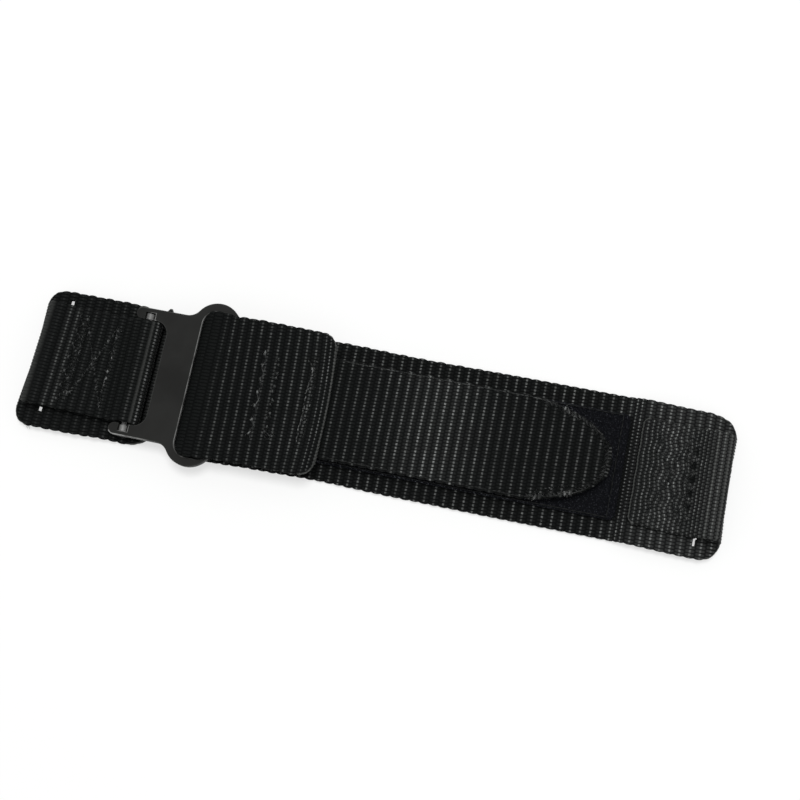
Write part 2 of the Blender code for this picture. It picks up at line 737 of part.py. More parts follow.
def make_loop_patch():
    """The loop patch on the long webbing and the seam round its edge."""
    start = TAB_START_X + PATCH_START_SETBACK
    end = LUG_STRIP_END_X - PATCH_END_GAP
    lift = (WEB_THICKNESS + LOOP_THICKNESS) / 2 + PLY_GAP
    line = offset_line(base_line(start - CUT_OVERRUN, end + CUT_OVERRUN), lift)
    patch = ribbon("loop_patch", line, LOOP_THICKNESS, PATCH_WIDTH + CUT_OVERRUN, "loop_black")
    plan = plan_outline(start, end, PATCH_WIDTH / 2, PATCH_CORNER_RADIUS, PATCH_CORNER_RADIUS)
    boolean(patch, flat_piece("patch_plan", [plan], -CUT_OVERRUN, FLAP_TOP), "INTERSECT")
    seam_line = offset_line(
        base_line(start + SEAM_INSET, end - PATCH_SEAM_END_INSET),
        lift + LOOP_THICKNESS / 2 + THREAD_SEAT + THREAD_RADIUS,
    )
    edge = PATCH_WIDTH / 2 - PATCH_SEAM_INSET
    corner = PATCH_SEAM_CORNER
    inner = edge - corner
    first, last = seam_line[0], seam_line[-1]
    near = [(first[0] - corner, -inner, first[1]), (first[0] - corner, inner, first[1])]
    far = [(last[0] + corner, inner, last[1]), (last[0] + corner, -inner, last[1])]
    run = [(x, edge, z) for x, z in seam_line]
    back = [(x, -edge, z) for x, z in reversed(seam_line)]
    thread("patch_seam", near + run + far + back, "thread_black", closed=True)


def make_lug_strip():
    """The narrow strip of the long piece: on top, round the lug tunnel, and under the webbing."""
    tunnel_top = (RIGHT_END - FAR_CENTRE_INSET, ply_middle(2) + 2 * LUG_TURN_RADIUS)
    foot = (tunnel_top[0] - FAR_LUG_SLOPE, ply_middle(2))
    under_end = (RAMP_END_X + UNDER_PLY_SETBACK, ply_middle(0))
    on_base = offset_line(base_line(LUG_STRIP_END_X, RAMP_END_X), PLY_PITCH)
    turns = lug_turns(RIGHT_END, -1, FAR_CENTRE_INSET)
    line = joined(on_base, slope(foot, tunnel_top), turns, [under_end])
    ribbon("lug_strip", line, WEB_THICKNESS, NARROW_WEB_WIDTH, "webbing_black")
    top = ply_middle(2) + WEB_THICKNESS / 2
    half_width = NARROW_WEB_WIDTH / 2 - CROSS_SEAM_INSET
    wave_seam("lug_tunnel_seam", foot[0] - FAR_TUNNEL_SEAM_SETBACK, top, half_width)
    cross_x = RAMP_END_X + LUG_CROSS_SETBACK + LUG_CROSS_LENGTH / 2
    cross_seam("lug_cross_seam", cross_x, top, LUG_CROSS_LENGTH / 2, half_width)


def make_closure_flap():
    """The end of the wide webbing, folded back on top, with the two seams that hold the tab."""
    outline = plan_outline(FLAP_ROOT_X, FLAP_END_X, WIDE_WEB_WIDTH / 2, 0, FLAP_CORNER_RADIUS)
    flat_piece("closure_flap", [outline], FLAP_BOTTOM, FLAP_TOP, "webbing_black")
    half_width = TAB_WIDTH / 2 - SEAM_INSET
    front_x = FLAP_ROOT_X + FLAP_SEAM_FRONT
    wave_seam("flap_seam_front", front_x, FLAP_TOP, half_width, FLAP_SEAM_FRONT_REACH)
    wave_seam("flap_seam_back", FLAP_ROOT_X + FLAP_SEAM_BACK, FLAP_TOP, half_width)


def nose(tip_x, half_width, length):
    """The blunt round nose of the tab, from its +Y side to its tip and back."""
    start_x = tip_x - length
    upper = []
    for step in range(2 * ARC_STEPS + 1):
        angle = math.pi / 2 * step / (2 * ARC_STEPS)
        along_share = math.sin(angle) ** (2 / TAB_NOSE_FULLNESS)
        across_share = math.cos(angle) ** (2 / TAB_NOSE_FULLNESS) if angle < math.pi / 2 else 0
        upper.append((start_x + length * along_share, half_width * max(across_share, 0)))
    return joined(upper, [(x, -y) for x, y in reversed(upper)])


def make_tab():
    """The hook tab, the hook tape under it and the seam along its edge."""
    half_width = TAB_WIDTH / 2
    tab_nose = nose(TAB_TIP_X, half_width, TAB_NOSE_LENGTH)
    outline = [(TAB_START_X, -half_width), (TAB_START_X, half_width)] + tab_nose
    flat_piece("hook_tab", [outline], TAB_BOTTOM, TAB_TOP, "webbing_black")
    tape_half = half_width - HOOK_INSET
    tape_start = TAB_START_X + HOOK_START_SETBACK
    tape_nose = nose(TAB_TIP_X - HOOK_INSET, tape_half, TAB_NOSE_LENGTH - HOOK_INSET)
    tape = [(tape_start, -tape_half), (tape_start, tape_half)] + tape_nose
    flat_piece("hook_tape", [tape], HOOK_BOTTOM, TAB_BOTTOM - PLY_GAP, "hook_black")
    seam_height = TAB_TOP + THREAD_SEAT + THREAD_RADIUS
    seam_half = half_width - SEAM_INSET
    seam_start = FLAP_END_X + SEAM_INSET
    seam_nose = nose(TAB_TIP_X - SEAM_INSET, seam_half, TAB_NOSE_LENGTH - SEAM_INSET)
    path = [(seam_start, seam_half)] + seam_nose + [(seam_start, -seam_half)]
    thread("tab_seam", [(x, y, seam_height) for x, y in path], "thread_black")


def make_pivot(name, place, pieces, parent=None):
    """An empty on the axis that its pieces turn about, which carries them and can be carried."""
    pivot = bpy.data.objects.new(name, None)
    PARTS.objects.link(pivot)
    pivot.empty_display_size = ARM_WIDTH
    pivot.location = place
    bpy.context.view_layer.update()
    for piece in pieces:
        carried = bpy.data.objects[piece]
        carried.parent = pivot
        carried.matrix_parent_inverse = pivot.matrix_world.inverted()
    if parent:
        pivot.parent = parent
        pivot.matrix_parent_inverse = parent.matrix_world.inverted()
    return pivot


def make_pivots():
    """The pieces' pivots: the spring bar, the ring's bar and the fold at the flap's root."""
    bar_place = (BAR_X, 0, BAR_HEIGHT)
    tips = ["spring_bar_tip_upper", "spring_bar_tip_lower"]
    short_piece = ["short_pad", "short_strip", "short_tunnel_seam", "short_cross_seam"]
    long_piece = ["long_webbing", "loop_patch", "patch_seam"]
    long_piece += ["lug_strip", "lug_tunnel_seam", "lug_cross_seam"]
    closure = ["closure_flap", "flap_seam_front", "flap_seam_back"]
    closure += ["hook_tab", "hook_tape", "tab_seam"]
    strap = make_pivot("short_piece", (LEFT_END, 0, 0), short_piece)
    buckle = make_pivot("buckle_pivot", bar_place, ["buckle_frame"], strap)
    make_pivot("bar_pivot", bar_place, ["spring_bar_tube", "spring_bar_spring"] + tips, buckle)
    ring_place = (RING_AXIS_X, 0, (FRAME_BOTTOM + FRAME_TOP) / 2)
    swivel = make_pivot("swivel_pivot", ring_place, long_piece, buckle)
    make_pivot("flap_pivot", (FLAP_ROOT_X, 0, FLAP_TOP), closure, swivel)


make_short_pad()
make_short_strip()
make_short_seams()
make_buckle_frame()
make_spring_bar()
make_long_webbing()
make_loop_patch()
make_lug_strip()
make_closure_flap()
make_tab()
make_pivots()
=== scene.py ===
"""Dresses the nylon watch strap: ribbed webbing, sewing, hook and loop tape, and the buckle.

In the frame of the strap: X along it, Y across it, Z up from the surface it lies on. All sizes are
in mm, and turned into metres where a mesh is written or the frame is told.
"""

import math
import random

import bmesh
import bpy
import numpy as np
from mathutils import Matrix, Vector


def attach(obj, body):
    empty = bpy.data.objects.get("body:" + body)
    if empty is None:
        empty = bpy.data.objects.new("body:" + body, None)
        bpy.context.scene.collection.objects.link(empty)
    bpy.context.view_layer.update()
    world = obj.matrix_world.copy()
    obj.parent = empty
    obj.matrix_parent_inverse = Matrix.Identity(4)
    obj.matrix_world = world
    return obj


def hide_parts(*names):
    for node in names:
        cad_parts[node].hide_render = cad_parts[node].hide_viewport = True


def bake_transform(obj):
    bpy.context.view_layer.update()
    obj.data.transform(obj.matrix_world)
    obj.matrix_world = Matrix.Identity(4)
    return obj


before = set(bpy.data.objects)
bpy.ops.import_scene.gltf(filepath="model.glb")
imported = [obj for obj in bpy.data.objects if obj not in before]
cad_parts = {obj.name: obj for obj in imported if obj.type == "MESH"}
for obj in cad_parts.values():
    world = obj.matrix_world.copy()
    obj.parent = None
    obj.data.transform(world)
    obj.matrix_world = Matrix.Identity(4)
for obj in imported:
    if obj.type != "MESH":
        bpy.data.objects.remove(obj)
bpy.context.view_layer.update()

MM = 0.001

# Camera, floor, lamp and surround
CAMERA_PLACE = (24.94, -33.38, 212.46)
CAMERA_TURN = (11.035, 3.380, 11.606)
CAMERA_LENS = 54
CAMERA_SENSOR = 36
FLOOR_WIDTH = 3000
FLOOR_DROP = 0.15
FLOOR_TONE = (0.42, 0.42, 0.418)
FLOOR_GLOW = (1, 1, 0.995, 1)
FLOOR_GLOW_STRENGTH = 0.598
LAMP_PLACE = (35, 97, 600)
LAMP_AIM = (11, 0, 6)
LAMP_WIDTH = 200
LAMP_POWER = 1.9
SURROUND_TONE = (0.98, 0.99, 1, 1)
SURROUND_STRENGTH = 0.52

# Tones, each plain and then brighter: for the webbing the brighter tone is painted light, with some
# wear, and for the threads a painted glint; for the rest it comes in specks, clouds and smudges
# The rib tones are painted shade in the gaps between the ribs, and the yarn tones the float crests
# painted lighter; the float tone is a painted glint on the crests, and the hem tone a painted
# highlight on sealed edges and folds.
RIB_TONES = (0.0028, 0.0032, 0.0031), (0.01, 0.0105, 0.0103)
YARN_TONES = (0.0056, 0.0065, 0.0062), (0.06, 0.062, 0.06)
FLOAT_GLINT_TONE = (0.4, 0.41, 0.4)
HEM_HIGHLIGHT_TONE = (0.08, 0.082, 0.078)
THREAD_TONES = (0.007, 0.0078, 0.0077), (0.2, 0.205, 0.2)
LINT_TONES = (0.3, 0.3, 0.29), (0.6, 0.6, 0.58)
LOOP_TONES = (0.0035, 0.0038, 0.0052), (0.16, 0.168, 0.19)
HOOK_TONES = (0.005, 0.005, 0.0056), (0.018, 0.018, 0.02)
COATING_TONES = (0.0142, 0.0143, 0.0135), (0.0205, 0.0206, 0.0195)
# The rim tone is wear with a painted highlight.
RUBBED_HIGHLIGHT_TONE = (0.42, 0.423, 0.41)
STEEL_TONES = (0.2, 0.201, 0.196), (0.27, 0.27, 0.264)
SHEEN_TINT = (0.6, 0.65, 0.85, 1)

# Webbing and its weave
WEB_THICKNESS = 1.05
WIDE_HALF = 12.85
FLAP_HALF = 13.08
NARROW_HALF = 9.525
TAB_HALF = 9.15
RIB_PITCH = 1.74
FLOAT_PITCH = 0.62
RIB_STEPS = 8
FLOAT_STEPS = 4
EDGE_ROUND = 0.45
SCALLOP = 0.16
SEALED_EDGE = 0.3
FLOAT_LIFT = 0.04
PLY_PITCH = 1.3
PLY_GAP = 0.25

# Places that the pieces share with the frame
LEFT_END = -63.75
RIGHT_END = 63.75
SHORT_CENTRE_INSET = 3.4
FAR_CENTRE_INSET = 2.375
LUG_TURN_RADIUS = 1.35
SHORT_LUG_SLOPE = 3.575
FAR_LUG_SLOPE = 4.1
LUG_CORNER = 2.9
FAR_LUG_CORNER = 3.4
SLIT_INSET = 4.6
SLIT_TURN_RADIUS = 0.825
SLIT_HALF_GAP = 0.66
SHORT_SLIT = (-9.95, 11.15, 0.46)
FAR_SLIT = (-10.85, 9.7, 0.24)
SEWN_END_X = -47.45
PAD_END_X = -38.55
PAD_CORNER = 4.5
BAR_X = -43.05
BAR_Z = 3.9
ROLL_RADIUS = 2.075
RING_AXIS_X = -26.75
TURN_REACH = 5.84
TURN_HEIGHT = 4.3
TURN_SHOULDER = 4.0
FLAP_Z = 6.015
FLAP_END_X = -7.35
FLAP_CORNER = 2.5
TAB_START_X = -21.25
TAB_TIP_X = 42.6
TAB_Z = 4.675
HOOK_Z = 3.325
PATCH_START_X = -20.75
PATCH_END_X = 45.25
PATCH_HALF = 9.5
PATCH_THICKNESS = 1.2
PILE_DEPTH = 0.12
TUFTS = 3600
TUFT_RADIUS = 0.035
SPECKS_FADE = (22, 42)
HOOK_TAPE_INSET = 0.6
HOOK_TAPE_START = 1.7
HOOK_TAPE_LIFT = 0.25
HOOK_SPACING = 1.15
HOOK_REACH = 0.4
LUG_STRIP_END_X = 47.45
LUG_STRIP_CORNER = 1.2
RAMP_START_X = 44.15
RAMP_LENGTH = 4.0
UNDER_SETBACK = 0.7

# The tab's nose: its half widths at distances from its tip
NOSE_DEPTHS = (0.0, 0.06, 0.25, 0.7, 1.5, 2.5, 3.5, 5.5, 7.5, 9.5, 11.5, 14.0)
NOSE_HALVES = (0.0, 1.3, 2.5, 3.35, 4.3, 5.2, 5.95, 7.0, 7.65, 8.3, 8.8, 9.15)

# How the real webbing lies: the reach of each bow, sag and slant
SHORT_SLANT = 0.045
STRIP_SHIFT = 0.25
NUB_REACH = 1.3
PAD_SPREAD = 0.22
PAD_HOLLOW = 0.42
PAD_CORNER_PULL = 0.45
BASE_BOW = 0.25
BASE_SAG = 0.36
FAR_CORNER_SAG = 0.42
SEWN_PULL = 0.26
FLAP_SHIFT = 0.15
WIDE_CHANGE = 0.12

# Ribs and folds with painted highlights: place along X, reach, and how bright, pale or smooth they
# are
LUG_BRIGHT = ((48.8, 0.8, 0.16), (57.5, 0.8, 0.05), (58.8, 0.4, 0.45), (60.6, 0.5, 0.5))
LUG_FOLDS = ((60.45, 0.09, 1.0), (61.4, 0.09, 0.5), (62.1, 0.11, 1.0))
STRIP_FOOT = ((-58.0, 0.6, 0.2), (-56.4, 0.55, 0.18))
STRIP_BRIGHT = (*STRIP_FOOT, (-52.0, 5.0, 0.05), (-42.9, 0.4, 0.1), (-41.1, 0.45, 0.6))
STRIP_PAINTED_LIGHT = (*STRIP_FOOT, (-41.0, 0.5, 0.25), (-61.6, 0.4, 0.4))
STRIP_FOLDS = ((-41.85, 0.1, 1.0), (-61.05, 0.45, 0.45))
BASE_BRIGHT = ((30.0, 12.0, 0.06), (46.6, 0.6, 0.42))

# Where the loose thread ends hang out of the pad
LOOSE_CORNER = (-61.1, -12.75, 1.7)

# Buckle
FRAME_BOTTOM = 3.74
FRAME_TOP = 5.14
FORK_EDGE_X = -39.05
FORK_HALF_GAP = 9.725
FORK_CORNER = 2.4
ARM_WIDTH = 2.15
ARM_TIP_REACH = 2.36
ARM_WALL = 0.8
OPENING_LEFT_X = -33.1
OPENING_RIGHT_X = -27.5
OPENING_HALF = 13.47
OPENING_CORNER = 2.5
BAR_CORNER = 0.7
RING_RIGHT_X = -26.0
RING_OUTER_Y = 15.05
LOBE_RADIUS = 4.4
NECK_RADIUS = 2.6
RIM_BEVEL = 0.2
SLOT_RADIUS = 0.85
BARREL_RADIUS = 1.15
SLOT_LIP = 140
LEDGE_LENGTH = 0.4
LEDGE_DEPTH = 0.45
NIB_HOLE_RADIUS = 0.48
CUT_BEYOND = 1.0
STEEP = 60
SHARP = 38

# Stretches of the buckle's rims with wear and a painted highlight: from and to along X, from and to
# across Y, and how strong
RUBBED_HIGHLIGHT_BORDER = 0.12
RUBBED_HIGHLIGHT_ELSEWHERE = 0.06
RUBBED_HIGHLIGHT_ZONES = (
    (-33.4, -32.7, -13.5, 13.5, 0.5),
    (-32.7, -30.0, -13.5, 13.5, 0.22),
    (-46.0, -38.0, -16.0, -11.3, 1.0),
    (-38.0, -36.5, -16.0, -11.3, 0.4),
    (-46.0, -44.0, 11.4, 16.0, 0.3),
    (-44.0, -36.0, 11.4, 16.0, 0.14),
)

# Heights of the faces that the seams lie on
SHORT_TOP = 4.95
FAR_TOP = 3.65
FLAP_TOP = 6.54
TAB_TOP = 5.2

# Seams: half widths, the length of a small stitch, and the places of rows, bends and knots
TUNNEL_SEAM_HALF = 7.8
CROSS_SEAM_HALF = 7.4
SMALL_STITCH = 0.42
SHORT_SEAM_BRIGHTER = 2.6
FLAP_SEAM_ROWS = [-7.3 + 2.43 * step for step in range(7)]
FLAP_SEAM_BENDS = [(-11.9, 7.4), (-11.1, 6.1), (-11.0, 4.8), (-11.4, 3.2), (-11.5, 0)]
FLAP_SEAM_BENDS += [(-11.35, -2.2), (-11.6, -4.6), (-11.5, -7.4)]
NOSE_KNOTS = [(33.5, 7.75), (34.1, 7.55), (36.0, -6.85), (36.8, -6.6), (31.8, -8.15), (31.1, -8.5)]


def deselect():
    """Leaves nothing selected."""
    for piece in bpy.context.selected_objects:
        piece.select_set(False)


def pick(piece):
    """Makes one piece the only one selected, and the active one."""
    deselect()
    piece.select_set(True)
    bpy.context.view_layer.objects.active = piece


def apply_modifier(piece, modifier):
    """Puts a modifier's result into the mesh."""
    pick(piece)
    bpy.ops.object.modifier_apply(modifier=modifier.name)


def named(name):
    """The piece that was just made, under its name."""
    piece = bpy.context.object
    piece.name = name
    piece.data.name = name
    return piece


def turn_outward():
    """Turns the faces of the piece just made so that they face outward."""
    bpy.ops.object.mode_set(mode="EDIT")
    bpy.ops.mesh.select_all(action="SELECT")
    bpy.ops.mesh.normals_make_consistent(inside=False)
    bpy.ops.object.mode_set(mode="OBJECT")


def points_of(piece):
    """A mesh's points as Blender keeps them, one in each row."""
    flat = np.empty(len(piece.data.vertices) * 3)
    piece.data.vertices.foreach_get("co", flat)
    return flat.reshape(-1, 3)


def put_points(piece, points):
    """Moves a mesh's points to places in mm."""
    piece.data.vertices.foreach_set("co", (points * MM).ravel())


def finished(piece, material, body=None, node=None):
    """Gives a piece its material, the body that it rides on and the CAD nodes it stands for."""
    piece.data.materials.clear()
    piece.data.materials.append(material)
    if body:
        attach(piece, body)
    if node:
        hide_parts(*([node] if isinstance(node, str) else node))
    return piece


def smooth_share(values):
    """A soft step from 0 to 1, for one number or many."""
    share = np.clip(values, 0, 1)
    return share * share * (3 - 2 * share)


# Camera, floor and lights


def add_camera():
    """The camera, at the photograph's place."""
    data = bpy.data.cameras.new("camera")
    data.lens = CAMERA_LENS
    data.sensor_width = CAMERA_SENSOR
    data.clip_start = MM
    camera = bpy.data.objects.new("camera", data)
    bpy.context.collection.objects.link(camera)
    turn_x, turn_y, turn_z = (math.radians(angle) for angle in CAMERA_TURN)
    turn = Matrix.Rotation(turn_z, 4, "Z") @ Matrix.Rotation(turn_y, 4, "Y")
    place = Matrix.Translation(Vector(CAMERA_PLACE) * MM)
    camera.matrix_world = place @ turn @ Matrix.Rotation(turn_x, 4, "X")
    bpy.context.scene.camera = camera


def node(tree, kind, inputs=None, **settings):
    """Adds a shader node with its settings, its values and its links."""
    made = tree.nodes.new(kind)
    for key, value in settings.items():
        setattr(made, key, value)
    for key, value in (inputs or {}).items():
        socket = made.inputs[key]
        if isinstance(value, bpy.types.NodeSocket):
            tree.links.new(value, socket)
        else:
            socket.default_value = value
    return made


def maths(tree, operation, first, second=0.0, third=0.0):
    """The result of a sum on up to three values or sockets."""
    inputs = {0: first, 1: second, 2: third}
    return node(tree, "ShaderNodeMath", inputs, operation=operation).outputs[0]


def times(tree, product, *factors):
    """The product of values or sockets."""
    for factor in factors:
        product = maths(tree, "MULTIPLY", product, factor)
    return product


def fade(tree, value, low, high, to_low=0.0, to_high=1.0):
    """A value moved softly from one span to another, and kept inside it."""
    inputs = {0: value, 1: low, 2: high, 3: to_low, 4: to_high}
    return node(tree, "ShaderNodeMapRange", inputs, interpolation_type="SMOOTHSTEP").outputs[0]


def blended(tree, share, first, second):
    """A colour between two others, each given as numbers or a socket."""
    ends = [(*end, 1) if isinstance(end, tuple) else end for end in (first, second)]
    inputs = {"Factor": share, 6: ends[0], 7: ends[1]}
    return node(tree, "ShaderNodeMix", inputs, data_type="RGBA").outputs[2]


def noise(tree, place, scale, detail=2.0, roughness=0.5):
    """Cloudy noise on a pattern's place."""
    inputs = {"Vector": place, "Scale": scale, "Detail": detail, "Roughness": roughness}
    return node(tree, "ShaderNodeTexNoise", inputs).outputs[0]


def piece_place(tree):
    """A place in the piece's own coordinates."""
    return node(tree, "ShaderNodeTexCoord").outputs["Object"]


def marked_share(tree, name):
    """The share that a piece's points are marked with under a name."""
    return node(tree, "ShaderNodeAttribute", attribute_name=name).outputs["Fac"]


def new_material(name, roughness, metallic=0.0, specular=0.5):
    """A material with one Principled shader, given back with its tree."""
    material = bpy.data.materials.new(name)
    material.use_nodes = True
    tree = material.node_tree
    shader = tree.nodes["Principled BSDF"]
    shader.inputs["Roughness"].default_value = roughness
    shader.inputs["Metallic"].default_value = metallic
    shader.inputs["Specular IOR Level"].default_value = specular
    return material, tree, shader


def add_bump(tree, shader, height, strength, distance):
    """Makes a height pattern stand out of the surface."""
    inputs = {"Height": height, "Strength": strength, "Distance": distance * MM}
    tree.links.new(node(tree, "ShaderNodeBump", inputs).outputs[0], shader.inputs["Normal"])


def add_floor():
    """The plain white table top, which shows itself white and keeps the strap's shadow."""
    bpy.ops.mesh.primitive_plane_add(size=FLOOR_WIDTH * MM, location=(0, 0, -FLOOR_DROP * MM))
    floor = bpy.context.object
    floor.name = "floor"
    material, tree, shader = new_material("table_white", 0.9, specular=0.03)
    shader.inputs["Base Color"].default_value = (*FLOOR_TONE, 1)
    path = node(tree, "ShaderNodeLightPath").outputs
    shown = maths(tree, "MAXIMUM", path["Is Camera Ray"], path["Is Glossy Ray"])
    shown = maths(tree, "MAXIMUM", shown, path["Is Transmission Ray"])
    shader.inputs["Emission Color"].default_value = FLOOR_GLOW
    glow = times(tree, shown, FLOOR_GLOW_STRENGTH)
    tree.links.new(glow, shader.inputs["Emission Strength"])
    floor.data.materials.append(material)


def add_lights():
    """A broad lamp nearly overhead and a plain white surround."""
    lamp = bpy.data.lights.new("lamp", "AREA")
    lamp.shape = "DISK"
    lamp.size = LAMP_WIDTH * MM
    lamp.energy = LAMP_POWER
    placed = bpy.data.objects.new("lamp", lamp)
    bpy.context.collection.objects.link(placed)
    placed.location = Vector(LAMP_PLACE) * MM
    aim = Vector(LAMP_AIM) * MM - placed.location
    placed.rotation_euler = aim.to_track_quat("-Z", "Y").to_euler()
    world = bpy.data.worlds.new("surround")
    world.use_nodes = True
    background = world.node_tree.nodes["Background"]
    background.inputs["Color"].default_value = SURROUND_TONE
    background.inputs["Strength"].default_value = SURROUND_STRENGTH
    bpy.context.scene.world = world
    bpy.context.scene.view_settings.view_transform = "Standard"


# Finishes


def new_group(name, inputs, outputs):
    """An effect that several materials use: a node group with named inputs and outputs."""
    group = bpy.data.node_groups.new(name, "ShaderNodeTree")
    for way, sockets in (("INPUT", inputs), ("OUTPUT", outputs)):
        for label, kind in sockets:
            group.interface.new_socket(label, in_out=way, socket_type=f"NodeSocket{kind}")
    given = group.nodes.new("NodeGroupInput").outputs
    return group, given, group.nodes.new("NodeGroupOutput").inputs


def make_weave_group():
    """Ribs and warp floats, from a map that counts ribs along and floats across."""
    group, given, wanted = new_group(
        "webbing weave",
        [("Map", "Vector"), ("Sealed", "Float"), ("Glint_Paint", "Float"), ("Pale", "Float")],
        [("Tone", "Color"), ("Roughness", "Float"), ("Height", "Float")],
    )
    place = given["Map"]
    parts = node(group, "ShaderNodeSeparateXYZ", {0: place}).outputs
    rib = maths(group, "SINE", times(group, parts[0], math.pi))
    yarn = maths(group, "COSINE", times(group, parts[1], 2 * math.pi))
    yarn = times(group, yarn, maths(group, "SIGN", rib))
    crest = maths(group, "ABSOLUTE", rib)
    clouds = noise(group, place, 0.3, 3.0)
    specks = noise(group, place, 2.1, 2.0)
    stretched = node(group, "ShaderNodeMapping", {"Vector": place, "Scale": (1.0, 9.0, 1.0)})
    filaments = noise(group, stretched.outputs[0], 2.2, 3.0, 0.65)
    # The dots are painted glints on the float crests.
    glint_mask = times(
        group,
        fade(group, crest, 0.925, 0.99),
        fade(group, yarn, 0.0, 0.85),
        fade(group, specks, 0.33, 0.62, 0.25, 1.0),
        fade(group, clouds, 0.36, 0.6, 0.5, 1.0),
        given["Glint_Paint"],
    )
    # The floats are painted lighter on their crests than the gaps between the ribs, where the tone
    # is painted shade.
    leaf = times(
        group,
        fade(group, crest, 0.0, 0.5),
        fade(group, yarn, -0.7, 0.5),
        fade(group, filaments, 0.3, 0.7, 0.4, 1.0),
    )
    # Pale lifts both tones with painted light, and in places with wear.
    low, high = (blended(group, given["Pale"], *tones) for tones in (RIB_TONES, YARN_TONES))
    tone = blended(group, glint_mask, blended(group, leaf, low, high), FLOAT_GLINT_TONE)
    # Sealed edges and folds get a painted highlight.
    hem_highlight = times(group, given["Sealed"], fade(group, specks, 0.3, 0.6, 0.55, 1.0))
    group.links.new(blended(group, hem_highlight, tone, HEM_HIGHLIGHT_TONE), wanted["Tone"])
    shine = maths(group, "MAXIMUM", leaf, hem_highlight)
    group.links.new(fade(group, shine, 0, 1, 0.85, 0.42), wanted["Roughness"])
    group.links.new(maths(group, "MULTIPLY_ADD", filaments, 0.35, leaf), wanted["Height"])
    return group


WEAVE = make_weave_group()


def webbing_material(name):
    """Black ribbed nylon webbing, paler where the piece's attributes say: painted light and glints,
    with wear in places.
    """
    material, tree, shader = new_material(name, 0.6, specular=0.06)
    weave = node(tree, "ShaderNodeGroup", node_tree=WEAVE)
    tree.links.new(node(tree, "ShaderNodeUVMap", uv_map="weave").outputs[0], weave.inputs["Map"])
    # Reads the sealed edges, the strength of the painted glints and the lift from painted light and
    # wear.
    for label in ("Sealed", "Glint_Paint", "Pale"):
        tree.links.new(marked_share(tree, label.lower()), weave.inputs[label])
    tree.links.new(weave.outputs["Tone"], shader.inputs["Base Color"])
    tree.links.new(weave.outputs["Roughness"], shader.inputs["Roughness"])
    add_bump(tree, shader, weave.outputs["Height"], 0.4, 0.12)
    return material


def fine_bands(tree, place, scale, distortion, way):
    """Fine parallel bands."""
    inputs = {"Vector": place, "Scale": scale, "Distortion": distortion}
    return node(tree, "ShaderNodeTexWave", inputs, bands_direction=way).outputs["Fac"]


def thread_material(name, tones, specular):
    """Bonded sewing thread with a slight twist, with painted glints where the strands are marked to
    shine.
    """
    material, tree, shader = new_material(name, 0.5, specular=specular)
    place = piece_place(tree)
    add_bump(tree, shader, fine_bands(tree, place, 900.0, 1.5, "DIAGONAL"), 0.3, 0.05)
    specks = fade(tree, noise(tree, place, 900.0), 0.38, 0.62, 0.25, 1.0)
    share = times(tree, marked_share(tree, "shine"), specks)
    tree.links.new(blended(tree, share, *tones), shader.inputs["Base Color"])
    return material


def pile_material(name, tones, scale):
    """Brushed loop pile or hook tape, lighter in specks, which fade towards the tab's tip."""
    material, tree, shader = new_material(name, 0.9, specular=0.08)
    shader.inputs["Sheen Weight"].default_value = 0.015
    shader.inputs["Sheen Roughness"].default_value = 0.5
    shader.inputs["Sheen Tint"].default_value = SHEEN_TINT
    place = piece_place(tree)
    fluff = noise(tree, place, scale, 5.0, 0.7)
    along = node(tree, "ShaderNodeSeparateXYZ", {0: place}).outputs[0]
    near, far = (MM * place for place in SPECKS_FADE)
    specks = times(tree, fade(tree, fluff, 0.53, 0.7), fade(tree, along, near, far, 1.0, 0.3))
    tree.links.new(blended(tree, specks, *tones), shader.inputs["Base Color"])
    add_bump(tree, shader, fluff, 0.8, 0.25)
    return material


def coated_metal_material():
    """Satin black coating with a fine grain, brighter along its rims with wear and a painted
    highlight.
    """
    material, tree, shader = new_material("coated_metal", 0.42, specular=0.06)
    place = piece_place(tree)
    clouds = noise(tree, place, 130.0, 4.0)
    grain = noise(tree, place, 2600.0)
    scuffs = noise(tree, place, 420.0, 3.0)
    # The rims' wear and painted highlight.
    light_and_wear = times(tree, marked_share(tree, "rim"), fade(tree, scuffs, 0.35, 0.6, 0.35, 1.0))
    body = blended(tree, fade(tree, clouds, 0.3, 0.7), *COATING_TONES)
    tree.links.new(blended(tree, light_and_wear, body, RUBBED_HIGHLIGHT_TONE), shader.inputs["Base Color"])
    tree.links.new(fade(tree, grain, 0.3, 0.7, 0.36, 0.5), shader.inputs["Roughness"])
    add_bump(tree, shader, grain, 0.2, 0.02)
    return material


def steel_material():
    """Turned steel of the spring bar, with fine rings along it."""
    material, tree, shader = new_material("bar_steel", 0.5, 0.1, 0.2)
    place = piece_place(tree)
    rings = fine_bands(tree, place, 1400.0, 0.6, "Y")
    tree.links.new(fade(tree, rings, 0, 1, 0.4, 0.52), shader.inputs["Roughness"])
    smudges = fade(tree, noise(tree, place, 900.0, 3.0), 0.35, 0.65)
    tree.links.new(blended(tree, smudges, *STEEL_TONES), shader.inputs["Base Color"])
    add_bump(tree, shader, rings, 0.15, 0.01)
    return material


WIDE_BLACK = webbing_material("wide_webbing_black")
NARROW_BLACK = webbing_material("narrow_webbing_black")
THREAD_BLACK = thread_material("thread_black", THREAD_TONES, 0.2)
LINT_WHITE = thread_material("lint_white", LINT_TONES, 0.3)
LOOP_BLACK = pile_material("loop_pile_black", LOOP_TONES, 3600.0)
HOOK_BLACK = pile_material("hook_tape_black", HOOK_TONES, 1500.0)
COATED_METAL = coated_metal_material()
BAR_STEEL = steel_material()


# Lines that the plies follow, drawn from the side


def arc(centre, radius, start, end, steps=16, rise=None):
    """Points on an arc from one angle in degrees to another, as high as another radius if given."""
    angles = [math.radians(start + (end - start) * step / steps) for step in range(steps + 1)]
    return [
        (centre[0] + radius * math.cos(angle), centre[1] + (rise or radius) * math.sin(angle))
        for angle in angles
    ]


